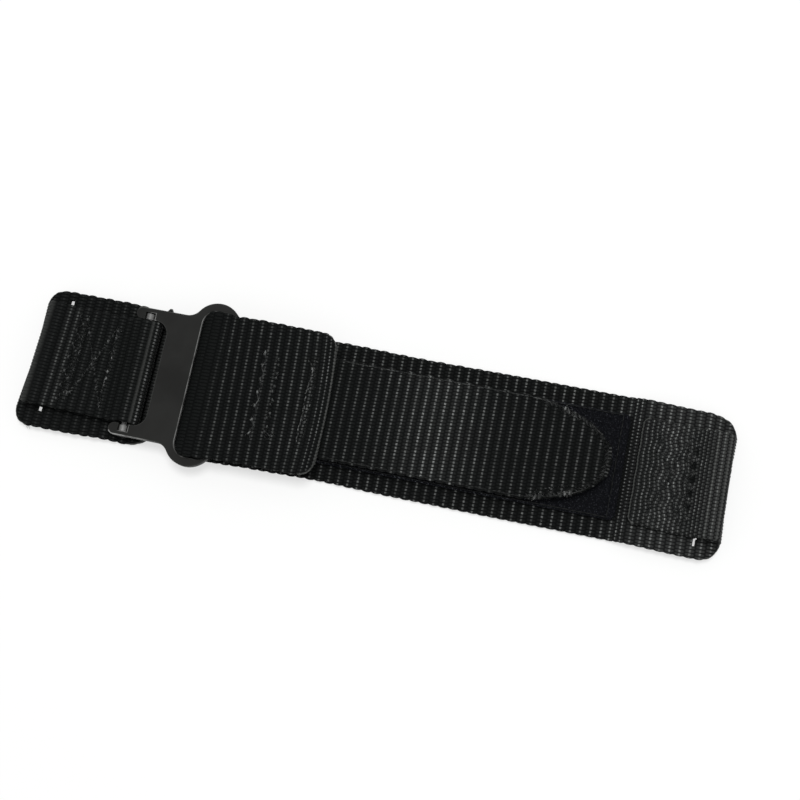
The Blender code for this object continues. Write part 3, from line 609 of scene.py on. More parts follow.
def slope(start, end, steps=16):
    """Points on a soft S between two places, level at both ends."""
    run, climb = end[0] - start[0], end[1] - start[1]
    shares = [step / steps for step in range(steps + 1)]
    return [
        (start[0] + run * share, start[1] + climb * (1 - math.cos(math.pi * share)) / 2)
        for share in shares
    ]


def ply_middle(level):
    """Height of the middle of a ply, counted in plies from the surface below."""
    return level * PLY_PITCH + WEB_THICKNESS / 2


def lug_turns(end, inward, centre_inset):
    """The strip's line round the lug tunnel, from its top, and down through the slit."""
    low = ply_middle(2)
    under = ply_middle(0)
    centre_x = end + inward * centre_inset
    slit_x = end + inward * SLIT_INSET
    turn = SLIT_TURN_RADIUS
    tunnel = arc((0, low + LUG_TURN_RADIUS), LUG_TURN_RADIUS, 90, 270, 32)
    over = arc((-turn, low - turn), turn, 90, 0)
    down = arc((turn, under + turn), turn, 180, 270)
    return [(centre_x + inward * x, z) for x, z in tunnel] + [
        (slit_x + inward * x, z) for x, z in over + down
    ]


def base_height(x):
    """Middle height of the long webbing, which climbs onto the lug strip's lower ply."""
    share = min(max((x - RAMP_START_X) / RAMP_LENGTH, 0), 1)
    return ply_middle(0) + PLY_PITCH * (1 - math.cos(math.pi * share)) / 2


class Line:
    """A ply's line, with its place and its upward side at any distance along it."""

    def __init__(self, points):
        kept = [points[0]]
        for point in points[1:]:
            if math.dist(point, kept[-1]) > 0.001:
                kept.append(point)
        self.points = np.array(kept)
        steps = np.linalg.norm(np.diff(self.points, axis=0), axis=1)
        self.along = np.concatenate([[0], np.cumsum(steps)])
        self.length = float(self.along[-1])

    def at(self, distances):
        """Places at distances along the line."""
        return np.stack(
            [np.interp(distances, self.along, self.points[:, axis]) for axis in (0, 1)], axis=1
        )

    def sides(self, distances, side):
        """Unit vectors square to the line, on its left hand for side 1."""
        reach = 0.12
        ahead = self.at(np.minimum(distances + reach, self.length))
        step = ahead - self.at(np.maximum(distances - reach, 0))
        step /= np.linalg.norm(step, axis=1)[:, None]
        return side * np.stack([-step[:, 1], step[:, 0]], axis=1)

    def distance_of(self, x, after=0.0):
        """The first distance past another one at which the line crosses a place along X."""
        for index in range(len(self.points) - 1):
            near, far = self.points[index][0], self.points[index + 1][0]
            if near != far and min(near, far) <= x <= max(near, far):
                share = (x - near) / (far - near)
                found = self.along[index] + share * (self.along[index + 1] - self.along[index])
                if found >= after:
                    return float(found)
        raise ValueError(f"the line doesn't reach {x}")

    def crest_at(self, x, after=0.0):
        """The start of the rib count that puts a rib's crest at a place along X."""
        return 0.5 - self.distance_of(x, after) / RIB_PITCH


# How the real webbing lies: slanted and hollow at one lug end, sagging at the other, and bowed


def hump(values, middle, reach):
    """A smooth hump of height 1."""
    return np.exp(-(((values - middle) / reach) ** 2))


def humps(values, table):
    """The sum of several humps, each given by its middle, its reach and its height."""
    return sum(height * hump(values, middle, reach) for middle, reach, height in table)


def lay_short(points):
    """Slants the short piece's lug end."""
    share = smooth_share((-44 - points[:, 0]) / 16)
    points[:, 0] += SHORT_SLANT * points[:, 1] * share
    return points


def lay_strip(points):
    """Slants the strip, and sets it a little to the side of the pad's middle at the lug end."""
    points[:, 1] += STRIP_SHIFT * smooth_share((-46 - points[:, 0]) / 10)
    return lay_short(points)


def lay_pad(points):
    """Slants the pad like its strip, hollows its lug end, and pulls its other corners askew."""
    lay_short(points)
    x, y = points.T[:2].copy()
    nub = np.exp(-(((x + 40.5) / 0.75) ** 4)) * smooth_share((y - 9) / 3)
    points[:, 1] += NUB_REACH * nub * (1 + 0.12 * np.sin(9 * x))
    points[:, 1] -= PAD_SPREAD * smooth_share((-46 - x) / 8) * smooth_share(-y / 10)
    points[:, 0] += PAD_HOLLOW * hump(y, 1, 6.5) * smooth_share((-60.5 - x) / 3)
    points[:, 0] += PAD_CORNER_PULL * smooth_share((-y - 6) / 5) * smooth_share((x + 44) / 4)
    return points


def lay_base(points):
    """Bows the long webbing a little beside the flap, and lets its lug end sag to one side."""
    x, y = points.T[:2].copy()
    points[:, 1] += BASE_BOW * hump(x, -7, 8) - BASE_SAG * smooth_share((x - 44) / 15)
    points[:, 1] -= FAR_CORNER_SAG * smooth_share((x - 58.5) / 3) * smooth_share((y - 5) / 6)
    return points


def lay_lug(points):
    """Draws the far strip's ribs aside where the crossed seam pulls them, and sags its end."""
    x, y = points.T[:2].copy()
    pulled = hump(x, 53.2, 4) * smooth_share((9 - np.abs(y)) / 3)
    points[:, 0] += SEWN_PULL * pulled * np.sin(1.5 * y + 1.2 * np.sin(1.1 * x))
    return lay_base(points)


def lay_flap(points):
    """Bows the flap's ribs and its end."""
    x, y, z = points.T.copy()
    on_top = smooth_share((x + 30) / 5) * smooth_share((z - 4) / 1)
    near_end = smooth_share((x + 16) / 8)
    shift = -0.034 * y - 0.0008 * y**2 + near_end * (0.012 * y - 0.0036 * y**2)
    points[:, 0] += shift * on_top
    points[:, 1] += FLAP_SHIFT * on_top * smooth_share((x + 26.5) / 4)
    return points


# Painted light on the webbing, with wear in places: the strength of the painted glints on its
# floats and the paleness of its ribs


def base_lighting(x, y):
    """The long webbing: painted lighter towards its lug end, with painted glints, and a painted
    shadow at the patch's end.
    """
    lug_end = smooth_share((x - 40) / 14)
    # A painted shadow beside the patch's end.
    patch_shadow = hump(x, PATCH_END_X + 0.25, 0.4) * (abs(y) < PATCH_HALF)
    glint_paint = 0.34 + humps(x, BASE_BRIGHT) + 0.14 * lug_end - 0.3 * patch_shadow
    return glint_paint, (0.07 + 0.6 * lug_end) * (1 - 0.9 * patch_shadow)


def tab_highlight(x, y):
    """The tab: a painted highlight at its middle, under the lamp's reflection."""
    middle = hump(x, 12, 7.5)
    return 0.22 + 0.42 * middle, 0.04 + 0.3 * middle


def flap_lighting(x, y):
    """The flap: no painted glints in the ring's opening, where it dips into shade, and more of them
    towards its end.
    """
    shown = smooth_share((x + 29.4) / 2.4)
    glint_paint = shown * (0.2 + 0.07 * smooth_share((x + 20) / 8)) + 0.14 * hump(x, -8.4, 0.7)
    return glint_paint, 0.03 + 0.05 * smooth_share((x + 20) / 10) * shown


def lug_lighting_and_wear(x, y):
    """The far strip: painted highlights on some ribs and towards its end, patchy wear where it is
    sewn, and painted shade in the hollows at the tunnel's foot.
    """
    patches = 0.5 + 0.9 * np.sin(2.1 * x + 1.3 * y) * np.sin(1.7 * y - 0.8 * x)
    sewn = hump(x, 53.2, 3.2)
    # Painted shade in the hollows at the tunnel's foot.
    pit_shade = hump(x, 57.2, 0.55) * hump(y, 0, 7) * (0.45 + 0.55 * np.cos(2.56 * (y - 0.4)))
    glint_paint = 0.27 + humps(x, LUG_BRIGHT) + 0.55 * sewn * np.clip(patches, 0, 1)
    pale = 0.46 + 0.4 * sewn * np.clip(patches + 0.2, 0, 1) - 0.16 * hump(x, 49, 1.5)
    pale += 0.3 * smooth_share((x - 58.5) / 2)
    return np.clip(glint_paint - pit_shade, 0, 1), np.clip(pale - pit_shade, 0, 1.6)


def pad_lighting(x, y):
    """The pad: few painted glints, and paler at its end in the fork."""
    return 0.05 + 0.06 * smooth_share((x + 54) / 5), 0.07 + 0.5 * smooth_share(x + 41.5)


def strip_lighting(x, y):
    """The short strip: painted highlights on two ribs at the tunnel's foot and on the folds of the
    roll, and painted light on the roll's shaded side.
    """
    # The last term is painted light on the roll's shaded side.
    pale = 0.06 + humps(x, STRIP_PAINTED_LIGHT) + 0.25 * smooth_share((x + 40.7) / 0.5)
    return 0.03 + humps(x, STRIP_BRIGHT), pale


def creased_lug(x, y):
    """The smooth folds of the far strip over its tunnel, which get a painted highlight."""
    return humps(x, LUG_FOLDS)


def creased_strip(x, y):
    """The fold along the roll and the smooth side of the tunnel, which get a painted highlight."""
    return humps(x, STRIP_FOLDS)


# Webbing


def even_steps(start, end, step):
    """Distances from start to end, about a step apart."""
    return np.linspace(start, end, max(2, int(round((end - start) / step)) + 1))


def across_steps(half_width, hidden_half=0.0):
    """Places across a webbing: close together in the selvedges, wide apart where it is covered."""
    inner = half_width - EDGE_ROUND
    step = FLOAT_PITCH / FLOAT_STEPS
    if hidden_half:
        outer = even_steps(hidden_half, inner, step)
        middle = even_steps(-hidden_half, hidden_half, 2 * step)[1:-1]
        middle = np.concatenate([-outer[::-1], middle, outer])
    else:
        middle = even_steps(-inner, inner, step)
    edge = half_width - EDGE_ROUND * np.array([0.0, 0.12, 0.35, 0.65])
    return np.concatenate([-edge, middle, edge[::-1]])


def plain_width(half_width):
    """One half width all along."""
    return lambda distances: np.full(len(distances), half_width)


def round_ends(length, width, near=0.0, far=0.0):
    """The half width at any distance, with rounded corners at the ends."""

    def rounded(distances):
        half = width(distances)
        for radius, inside in ((near, distances), (far, length - distances)):
            if radius:
                depth = np.clip((radius - inside) / radius, 0, 1)
                half = half - radius * (1 - np.sqrt(1 - depth**2))
        return half

    return rounded


def end_rows(length, near=0.0, far=0.0, step=RIB_PITCH / RIB_STEPS):
    """Distances along a piece, closer together in its rounded corners."""
    angles = np.linspace(0, math.pi / 2, 16)[:-1]
    parts = [even_steps(near, length - far, step)]
    if near:
        parts.insert(0, near * (1 - np.cos(angles)))
    if far:
        parts.append(length - (far * (1 - np.cos(angles)))[::-1])
    return np.concatenate(parts)


def grid(name, rows, columns):
    """A flat grid of that many points each way, and each point's row and column."""
    deselect()
    bpy.ops.mesh.primitive_grid_add(x_subdivisions=rows - 1, y_subdivisions=columns - 1, size=2)
    piece = named(name)
    flat = points_of(piece)
    row = np.rint((flat[:, 0] + 1) / 2 * (rows - 1)).astype(int)
    column = np.rint((flat[:, 1] + 1) / 2 * (columns - 1)).astype(int)
    return piece, row, column


def set_weave_map(piece, ribs, floats):
    """Writes the UV map that the weave follows."""
    layer = piece.data.uv_layers[0]
    layer.name = "weave"
    corner = np.empty(len(piece.data.loops), dtype=int)
    piece.data.loops.foreach_get("vertex_index", corner)
    layer.data.foreach_set("uv", np.stack([ribs[corner], floats[corner]], axis=1).ravel())


def set_share(piece, name, values):
    """Writes a share for each point, for a material to read."""
    attribute = piece.data.attributes.new(name, "FLOAT", "POINT")
    attribute.data.foreach_set("value", np.asarray(values, dtype=np.float32))


def thicken(piece, share, thickness):
    """Gives a sheet its thickness, half of it each way, times a share at each point."""
    group = piece.vertex_groups.new(name="plump")
    for index, value in enumerate(share.tolist()):
        group.add([index], value, "REPLACE")
    solid = piece.modifiers.new("thickness", "SOLIDIFY")
    solid.thickness = thickness * MM
    solid.offset = 0
    solid.vertex_group = "plump"
    apply_modifier(piece, solid)
    piece.vertex_groups.clear()
    turn_outward()
    bpy.ops.object.shade_smooth()


def cut_slit(piece, along, y, middle, slit):
    """Deletes the faces in a slit, which is widest in the middle and narrow at its ends."""
    low, high, end_gap = slit
    work = bmesh.new()
    work.from_mesh(piece.data)
    work.verts.ensure_lookup_table()
    gone = []
    for face in work.faces:
        corners = [vertex.index for vertex in face.verts]
        d = sum(along[index] for index in corners) / 4
        place = sum(y[index] for index in corners) / 4
        inside = min(place - low, high - place)
        gap = end_gap + (SLIT_HALF_GAP - end_gap) * float(smooth_share((inside - 1.0) / 1.2))
        if inside > 0 and abs(d - middle) < gap:
            gone.append(face)
    bmesh.ops.delete(work, geom=gone, context="FACES")
    work.to_mesh(piece.data)
    work.free()


def webbing(
    name,
    line,
    width,
    side,
    rows,
    phase,
    columns=None,
    corners=(0, 0),
    sealed=(False, False),
    lay=None,
    slit=None,
    light_and_wear=base_lighting,
    close=(),
    creased=None,
):
    """A ply of ribbed webbing along a line.

    width gives the half width at each distance, and side says on which hand of the line the outer
    face lies. sealed says which ends show a smooth melted edge, which gets a painted highlight, and
    lay moves the finished points as the real piece lies. slit is the distance of a slit's middle,
    then its ends across and its half gap there. The function for light and wear gives the strength
    of the painted glints on the floats and how much the ribs are lifted at any place, by painted
    light and in places by wear, and creased how smooth a fold is there and how strong its painted
    highlight. close gives pairs of distances between which the ribs stand twice as close."""
    half = width(rows)
    widest = float(half.max())
    across = across_steps(widest) if columns is None else columns
    piece, row, column = grid(name, len(rows), len(across))
    distance = rows[row]
    ribs = distance / RIB_PITCH + phase
    for start, end in close:
        ribs += np.clip(distance - start, 0, end - start) / RIB_PITCH
    crest = np.abs(np.sin(math.pi * ribs))
    y = across[column] * half[row] / widest
    floats = y / FLOAT_PITCH
    from_side = widest - np.abs(across[column])
    from_end = np.full(len(distance), 1.0)
    insides, places = (distance, line.length - distance), (corners[0], line.length - corners[1])
    for inside, corner, radius, shown in zip(insides, places, corners, sealed):
        if shown:
            full = float(width(np.array([corner]))[0])
            into = np.maximum(radius - inside, 0)
            beside = np.maximum(np.abs(y) - (full - radius), 0)
            in_corner = (into > 0) & (beside > 0)
            within = np.where(in_corner, radius - np.hypot(into, beside), inside)
            from_end = np.minimum(from_end, within)
    place, up = line.at(rows), line.sides(rows, side)
    scallop = 1 - SCALLOP * (1 - crest) ** 1.5 * smooth_share(1 - from_side) / widest
    points = np.stack([place[row, 0], y * scallop, place[row, 1]], axis=1)
    lift = np.sin(math.pi * ribs) * np.cos(2 * math.pi * floats)
    rounding = np.clip(from_side / EDGE_ROUND, 0, 1)
    rim = 0.42 + 0.58 * np.sqrt(1 - (1 - rounding) ** 2)
    end_share = np.clip(from_end / SEALED_EDGE, 0, 1)
    rim *= 0.6 + 0.4 * np.sqrt(1 - (1 - end_share) ** 2)
    flat = smooth_share(end_share)
    plump = 0.74 + flat * (0.15 * crest**0.8 + 0.11 * lift) + (1 - flat) * 0.12
    normal = np.stack([up[row, 0], np.zeros(len(row)), up[row, 1]], axis=1)
    points += normal * (FLOAT_LIFT * lift * rim)[:, None]
    # Painted glints and painted light, with wear in places, at each point.
    glint_paint, pale = light_and_wear(points[:, 0], points[:, 1])
    smooth = 1 - smooth_share((from_end / SEALED_EDGE - 0.35) / 0.4)
    if creased:
        smooth = np.maximum(smooth, creased(points[:, 0], points[:, 1]))
    put_points(piece, lay(points) if lay else points)
    set_weave_map(piece, ribs, floats)
    set_share(piece, "sealed", smooth)
    set_share(piece, "glint_paint", glint_paint)
    set_share(piece, "pale", pale)
    set_share(piece, "plump", plump * rim)
    if slit:
        cut_slit(piece, distance, y, *slit)
    shares = np.empty(len(piece.data.vertices), dtype=np.float32)
    piece.data.attributes["plump"].data.foreach_get("value", shares)
    piece.data.attributes.remove(piece.data.attributes["plump"])
    thicken(piece, shares, WEB_THICKNESS)
    return piece


def make_short_pad():
    """The wide pad of the short piece."""
    ramp_start = SEWN_END_X - UNDER_SETBACK / 2
    line = Line(
        [(LEFT_END + 0.15, ply_middle(1))]
        + slope((ramp_start, ply_middle(1)), (ramp_start + RAMP_LENGTH, ply_middle(0)))
        + [(PAD_END_X, ply_middle(0))]
    )
    slit_middle = line.distance_of(LEFT_END + SLIT_INSET - 0.05)
    piece = webbing(
        "pad_webbing",
        line,
        round_ends(line.length, plain_width(WIDE_HALF), LUG_CORNER, PAD_CORNER),
        1,
        end_rows(line.length, LUG_CORNER, PAD_CORNER),
        line.crest_at(-57.4),
        corners=(LUG_CORNER, PAD_CORNER),
        sealed=(True, True),
        lay=lay_pad,
        slit=(slit_middle, SHORT_SLIT),
        light_and_wear=pad_lighting,
    )
    finished(piece, WIDE_BLACK, "short_piece", "short_pad")


def make_short_strip():
    """The narrow strip of the short piece, from its return ply round the roll to its under ply."""
    tunnel_top = (LEFT_END + SHORT_CENTRE_INSET, ply_middle(2) + 2 * LUG_TURN_RADIUS)
    foot_x = tunnel_top[0] + SHORT_LUG_SLOPE
    roll = arc((BAR_X, BAR_Z), ROLL_RADIUS, -90, 90, 36)
    line = Line(
        [(foot_x + 0.6, ply_middle(2))]
        + slope((SEWN_END_X, ply_middle(2)), roll[0])
        + roll
        + slope(roll[-1], (SEWN_END_X, ply_middle(3)))
        + slope((foot_x, ply_middle(3)), tunnel_top)
        + lug_turns(LEFT_END, 1, SHORT_CENTRE_INSET)
        + [(SEWN_END_X - UNDER_SETBACK, ply_middle(0))]
    )
    piece = webbing(
        "strip_webbing",
        line,
        plain_width(NARROW_HALF),
        -1,
        end_rows(line.length),
        line.crest_at(-58.0),
        sealed=(True, True),
        lay=lay_strip,
        light_and_wear=strip_lighting,
        creased=creased_strip,
    )
    finished(piece, NARROW_BLACK, "short_piece", "short_strip")


def make_base_webbing():
    """The wide webbing of the long piece along the skin side, from the ring to its lug end."""
    ramp = [RAMP_START_X + RAMP_LENGTH * step / 16 for step in range(17)]
    line = Line(
        [(RING_AXIS_X, ply_middle(0))]
        + [(x, base_height(x)) for x in ramp]
        + [(RIGHT_END, base_height(RIGHT_END))]
    )

    def width(distances):
        near_ring = 1 - smooth_share(distances / 8)
        near_lug = smooth_share((distances - 34) / 20)
        return WIDE_HALF + (FLAP_HALF - WIDE_HALF) * near_ring + WIDE_CHANGE * near_lug

    slit_middle = line.distance_of(RIGHT_END - SLIT_INSET + 0.25)
    close_start = line.distance_of(45.7)
    piece = webbing(
        "base_webbing",
        line,
        round_ends(line.length, width, 0, FAR_LUG_CORNER),
        1,
        end_rows(line.length, 0, FAR_LUG_CORNER, RIB_PITCH / 7),
        line.crest_at(22.6),
        columns=across_steps(FLAP_HALF, 7.6),
        corners=(0, FAR_LUG_CORNER),
        sealed=(False, True),
        lay=lay_base,
        slit=(slit_middle, FAR_SLIT),
        close=[(close_start, close_start + RIB_PITCH)],
    )
    finished(piece, WIDE_BLACK, "long_piece", "long_webbing")


def make_turn_and_flap():
    """The same webbing round the ring's bar and back on top, down to the flap's rounded end."""
    drop, rise = TURN_HEIGHT - ply_middle(0), FLAP_Z - TURN_HEIGHT
    shoulder = (RING_AXIS_X - TURN_REACH + TURN_SHOULDER, TURN_HEIGHT)
    low = arc((RING_AXIS_X, TURN_HEIGHT), TURN_REACH, 270, 180, 40, drop)
    high = arc(shoulder, TURN_SHOULDER, 180, 90, 32, rise)
    line = Line(low + high + [(FLAP_END_X, FLAP_Z)])

    def width(distances):
        place = line.at(distances) + WEB_THICKNESS / 2 * line.sides(distances, 1)
        corner_x = OPENING_LEFT_X + OPENING_CORNER
        beside = np.maximum(corner_x - place[:, 0], 0)
        reach = OPENING_CORNER + 0.05
        limit = OPENING_HALF - OPENING_CORNER + np.sqrt(np.maximum(reach**2 - beside**2, 0))
        in_frame = smooth_share((place[:, 1] - 0.9) / 2.4) * (beside > 0)
        near_end = smooth_share((distances - line.length + 14) / 12)
        filling = smooth_share(distances / 3) * smooth_share((-26.4 - place[:, 0]) / 2)
        full = OPENING_HALF - 0.1
        half = FLAP_HALF - WIDE_CHANGE * near_end + (full - FLAP_HALF) * filling
        return half - np.maximum(half - limit, 0) * in_frame

    piece = webbing(
        "flap_webbing",
        line,
        round_ends(line.length, width, 0, FLAP_CORNER),
        1,
        end_rows(line.length, 0, FLAP_CORNER),
        line.crest_at(-14.4, 12),
        corners=(0, FLAP_CORNER),
        sealed=(False, True),
        lay=lay_flap,
        light_and_wear=flap_lighting,
        close=[(line.length - 1.9, line.length)],
    )
    finished(piece, WIDE_BLACK, None, ["closure_flap", "long_webbing"])
    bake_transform(piece)


def make_lug_strip():
    """The narrow strip at the long piece's lug end."""
    tunnel_top = (RIGHT_END - FAR_CENTRE_INSET, ply_middle(2) + 2 * LUG_TURN_RADIUS)
    foot = (tunnel_top[0] - FAR_LUG_SLOPE, ply_middle(2))
    ramp_end = RAMP_START_X + RAMP_LENGTH
    places = np.linspace(LUG_STRIP_END_X, ramp_end, 6)
    line = Line(
        [(x, base_height(x) + PLY_PITCH) for x in places]
        + slope(foot, tunnel_top)
        + lug_turns(RIGHT_END, -1, FAR_CENTRE_INSET)
        + [(ramp_end + UNDER_SETBACK, ply_middle(0))]
    )
    close_start = line.distance_of(47.8)
    piece = webbing(
        "lug_webbing",
        line,
        round_ends(line.length, plain_width(NARROW_HALF), LUG_STRIP_CORNER, 0),
        1,
        end_rows(line.length, LUG_STRIP_CORNER, 0, RIB_PITCH / 12),
        line.crest_at(58.9),
        corners=(LUG_STRIP_CORNER, 0),
        sealed=(True, True),
        light_and_wear=lug_lighting_and_wear,
        creased=creased_lug,
        lay=lay_lug,
        close=[(close_start, close_start + 9 * RIB_PITCH)],
    )
    finished(piece, NARROW_BLACK, "long_piece", "lug_strip")


def nose_width(length, half_width):
    """The tab's half width at any distance, with its blunt hand-cut nose."""
    shares = np.array(NOSE_HALVES) / NOSE_HALVES[-1]
    return lambda distances: half_width * np.interp(length - distances, NOSE_DEPTHS, shares)


def nose_rows(length, step):
    """Distances along the tab, closer together towards its tip."""
    reach = NOSE_DEPTHS[-1]
    curved = reach * (1 - np.linspace(0, 1, 80) ** 1.7)
    return np.concatenate([even_steps(0, length - reach, step)[:-1], length - curved])


def make_tab():
    """The narrow hook tab with its blunt round nose."""
    line = Line([(TAB_START_X, TAB_Z), (TAB_TIP_X, TAB_Z)])
    piece = webbing(
        "tab_webbing",
        line,
        nose_width(line.length, TAB_HALF),
        1,
        nose_rows(line.length, RIB_PITCH / RIB_STEPS),
        line.crest_at(28.4),
        sealed=(True, False),
        light_and_wear=tab_highlight,
    )
    finished(piece, NARROW_BLACK, "closure", "hook_tab")


# Small repeated shapes: stitches, frayed fibres, pile loops and hooks


class Form:
    """A short round strand, modelled once, that is copied and laid between two points."""

    def __init__(self, name, around, rings):
        deselect()
        bpy.ops.mesh.primitive_uv_sphere_add(segments=around, ring_count=rings, radius=1)
        self.shape = named(name)
        bpy.ops.object.shade_smooth()
        flat = points_of(self.shape)
        across = np.hypot(flat[:, 0], flat[:, 1])
        fuller = np.where(across > 1e-6, across**0.4 / np.maximum(across, 1e-6), 0)
        self.along = flat[:, 2] / 2
        self.beside = flat[:, 0] * fuller
        self.above = flat[:, 1] * fuller

    def laid(self, strand):
        """The strand's points between two places, arched in the middle and sunk at its ends."""
        start, end, up, radius, arch, sink = strand[:6]
        axis = end - start
        beside = np.cross(up, axis)
        beside /= np.linalg.norm(beside)
        twist = 2.2 * math.pi * self.along
        side = self.beside * np.cos(twist) - 0.8 * self.above * np.sin(twist)
        lift = self.beside * np.sin(twist) + 0.8 * self.above * np.cos(twist)
        curve = arch * (1 - (2 * self.along) ** 2) - sink * (2 * self.along) ** 4
        return (
            start
            + axis * (self.along * 1.1 + 0.5)[:, None]
            + beside * (radius * side)[:, None]
            + up * (radius * lift + curve)[:, None]
        )


STITCH = Form("stitch_form", 7, 8)
FIBRE = Form("fibre_form", 3, 6)
UP = np.array([0.0, 0.0, 1.0])


def strands(name, form, laid_out, material, body, nodes=None, lay=None):
    """One piece made of many copies of a strand, each laid at its own place."""
    copies = []
    for strand in laid_out:
        points = form.laid(strand)
        copy = form.shape.copy()
        copy.data = form.shape.data.copy()
        bpy.context.collection.objects.link(copy)
        put_points(copy, lay(points) if lay else points)
        set_share(copy, "shine", np.full(len(points), strand[6]))
        copies.append(copy)
    pick(copies[0])
    for copy in copies:
        copy.select_set(True)
    bpy.ops.object.join()
    return finished(named(name), material, body, nodes)


def needle_points(path, step, closed=False):
    """Evenly spaced places along a path of (x, y) pairs."""
    points = np.array(path + path[:1] if closed else path, dtype=float)
    lengths = np.linalg.norm(np.diff(points, axis=0), axis=1)
    along = np.concatenate([[0], np.cumsum(lengths)])
    count = max(2, int(round(along[-1] / step)))
    places = np.linspace(0, along[-1], count + 1)
    return np.stack([np.interp(places, along, points[:, axis]) for axis in (0, 1)], axis=1)


class Sewing:
    """Collects the stitches and frayed fibres of one seam."""

    def __init__(self, seed, height):
        self.chance = random.Random(seed)
        self.height = height
        self.stitches = []
        self.fibres = []

    def spot(self, x, y, wander=0.0, lift=0.0):
        """A place on the seam's face, moved a little at random."""
        jitter = self.chance.uniform
        height = self.height(x) if callable(self.height) else self.height
        moved = x + jitter(-wander, wander), y + jitter(-wander, wander)
        return np.array([*moved, height + lift])

    def stitch(self, start, end, radius=0.16, arch=0.1, sink=0.22, shine=0.1):
        """One stitch between two places."""
        self.stitches.append((start, end, UP, radius, arch, sink, shine))

    def run(self, points, wander, shine, radius=0.16, arch=0.1):
        """Stitches from each needle point to the next."""
        for first, second in zip(points[:-1], points[1:]):
            start, end = self.spot(*first, wander), self.spot(*second, wander)
            glint = max(0.0, self.chance.gauss(shine, shine * 0.6))
            self.stitch(start, end, radius, arch * self.chance.uniform(0.7, 1.4), shine=glint)

    def crumbs(self, points, wander, length, shine, turn=0.8):
        """Short stitches showing wear along a path, some dark and some with a painted glint, at odd
        angles.
        """
        for first, second in zip(points[:-1], points[1:]):
            along = math.atan2(second[1] - first[1], second[0] - first[0])
            angle = along + self.chance.gauss(0, turn)
            reach = np.array([math.cos(angle), math.sin(angle), 0])
            reach = reach * length * self.chance.uniform(0.6, 1.2) / 2
            middle = self.spot(*first, wander)
            glint = shine * self.chance.random() ** 2.5 * 3
            radius = self.chance.uniform(0.07, 0.11)
            self.stitch(middle - reach, middle + reach, radius, 0.08, 0.18, glint)

    def knot(self, x, y, size, shine):
        """A small tangle with painted glints where the thread turns back, round a dark needle hole.
        """
        for _ in range(3):
            angle = self.chance.uniform(0.9, 2.2)
            reach = np.array([math.cos(angle), math.sin(angle), 0]) * size / 2
            middle = self.spot(x, y, 0.12, 0.05)
            glint = shine * self.chance.uniform(0.4, 1.3)
            self.stitch(middle - reach, middle + reach, 0.095, 0.1, 0.15, glint)
        hole = self.spot(x + 0.25, y - 0.2, 0.1, 0.06)
        reach = np.array([0.12, 0.12, 0])
        self.stitch(hole - reach, hole + reach, 0.15, 0.0, 0.05, 0.0)

    def fray(self, x, y, count, spread, length, shine):
        """A few loose fibres round a place."""
        for _ in range(count):
            start = self.spot(x, y, spread, 0.08)
            angle = self.chance.uniform(0, 2 * math.pi)
            reach = self.chance.uniform(0.4, 1.0) * length
            step = np.array([math.cos(angle), math.sin(angle), self.chance.uniform(0, 0.35)])
            arch = self.chance.uniform(-0.05, 0.3) * length
            glint = shine * self.chance.uniform(0.4, 1.5)
            radius = self.chance.uniform(0.03, 0.05)
            self.fibres.append((start, start + step * reach, UP, radius, arch, 0.0, glint))

    def finish(self, name, body, node_name, lay=None):
        """Makes the seam's pieces."""
        strands(name, STITCH, self.stitches, THREAD_BLACK, body, node_name, lay)
        if self.fibres:
            strands(f"{name}_fray", FIBRE, self.fibres, THREAD_BLACK, body, None, lay)


def zigzag_path(x, reach, half_width, pitch):
    """Corners of a zigzag across the webbing."""
    count = int(round(2 * half_width / pitch * 2))
    return [
        (x + reach * (1 if step % 2 else -1), -half_width + 2 * half_width * step / count)
        for step in range(count + 1)
    ]


def crossed_paths(x, reach, half_width):
    """The two sides and the two diagonals of a crossed seam."""
    left, right = x - reach, x + reach
    return [
        [(left, half_width), (left, -half_width)],
        [(right, -half_width), (right, half_width)],
        [(left, half_width), (right, -half_width)],
        [(left, -half_width), (right, half_width)],
    ]


def sew_tunnel_seams():
    """The narrow zigzags that close the two lug tunnels."""
    places = (
        ("short_tunnel_stitches", "short_piece", "short_tunnel_seam", -55.3, SHORT_TOP, 11),
        ("lug_tunnel_stitches", "long_piece", "lug_tunnel_seam", 56.78, FAR_TOP, 12),
    )
    for name, body, seam, x, top, seed in places:
        sewing = Sewing(seed, top - 0.03)
        corners = zigzag_path(x, 0.5, TUNNEL_SEAM_HALF, 2.6)
        sewing.crumbs(needle_points(corners, SMALL_STITCH), 0.1, 0.5, 0.1, 0.5)
        for corner in corners:
            sewing.knot(*corner, 0.5, 0.35)
            sewing.fray(*corner, 5, 0.5, 0.6, 0.35)
        sewing.finish(name, body, seam, lay_strip if body == "short_piece" else lay_base)


def sew_crossed_seams():
    """The two crossed seams that hold the narrow strips."""
    places = (
        ("short_cross_stitches", "short_piece", "short_cross_seam", -51.1, 3.1, SHORT_TOP, 21),
        ("lug_cross_stitches", "long_piece", "lug_cross_seam", 53.1, 2.7, FAR_TOP, 22),
    )
    for name, body, seam, x, reach, top, seed in places:
        sewing = Sewing(seed, top - 0.03)
        for path in crossed_paths(x, reach, CROSS_SEAM_HALF):
            points = needle_points(path, SMALL_STITCH)
            strong = 0.16 if path[0][0] > x and path[1][0] > x else 0.07
            if body == "short_piece":
                strong *= SHORT_SEAM_BRIGHTER
            else:
                sewing.run(points, 0.1, 0.0, 0.13, 0.06)
            sewing.crumbs(points, 0.16, 0.5, strong)
            for px, py in points[::3]:
                if sewing.chance.random() < 0.4:
                    sewing.knot(px, py, 0.5, 3 * strong)
                sewing.fray(px, py, 2, 0.35, 0.6, 2.5 * strong)
        sewing.finish(name, body, seam, lay_strip if body == "short_piece" else lay_base)


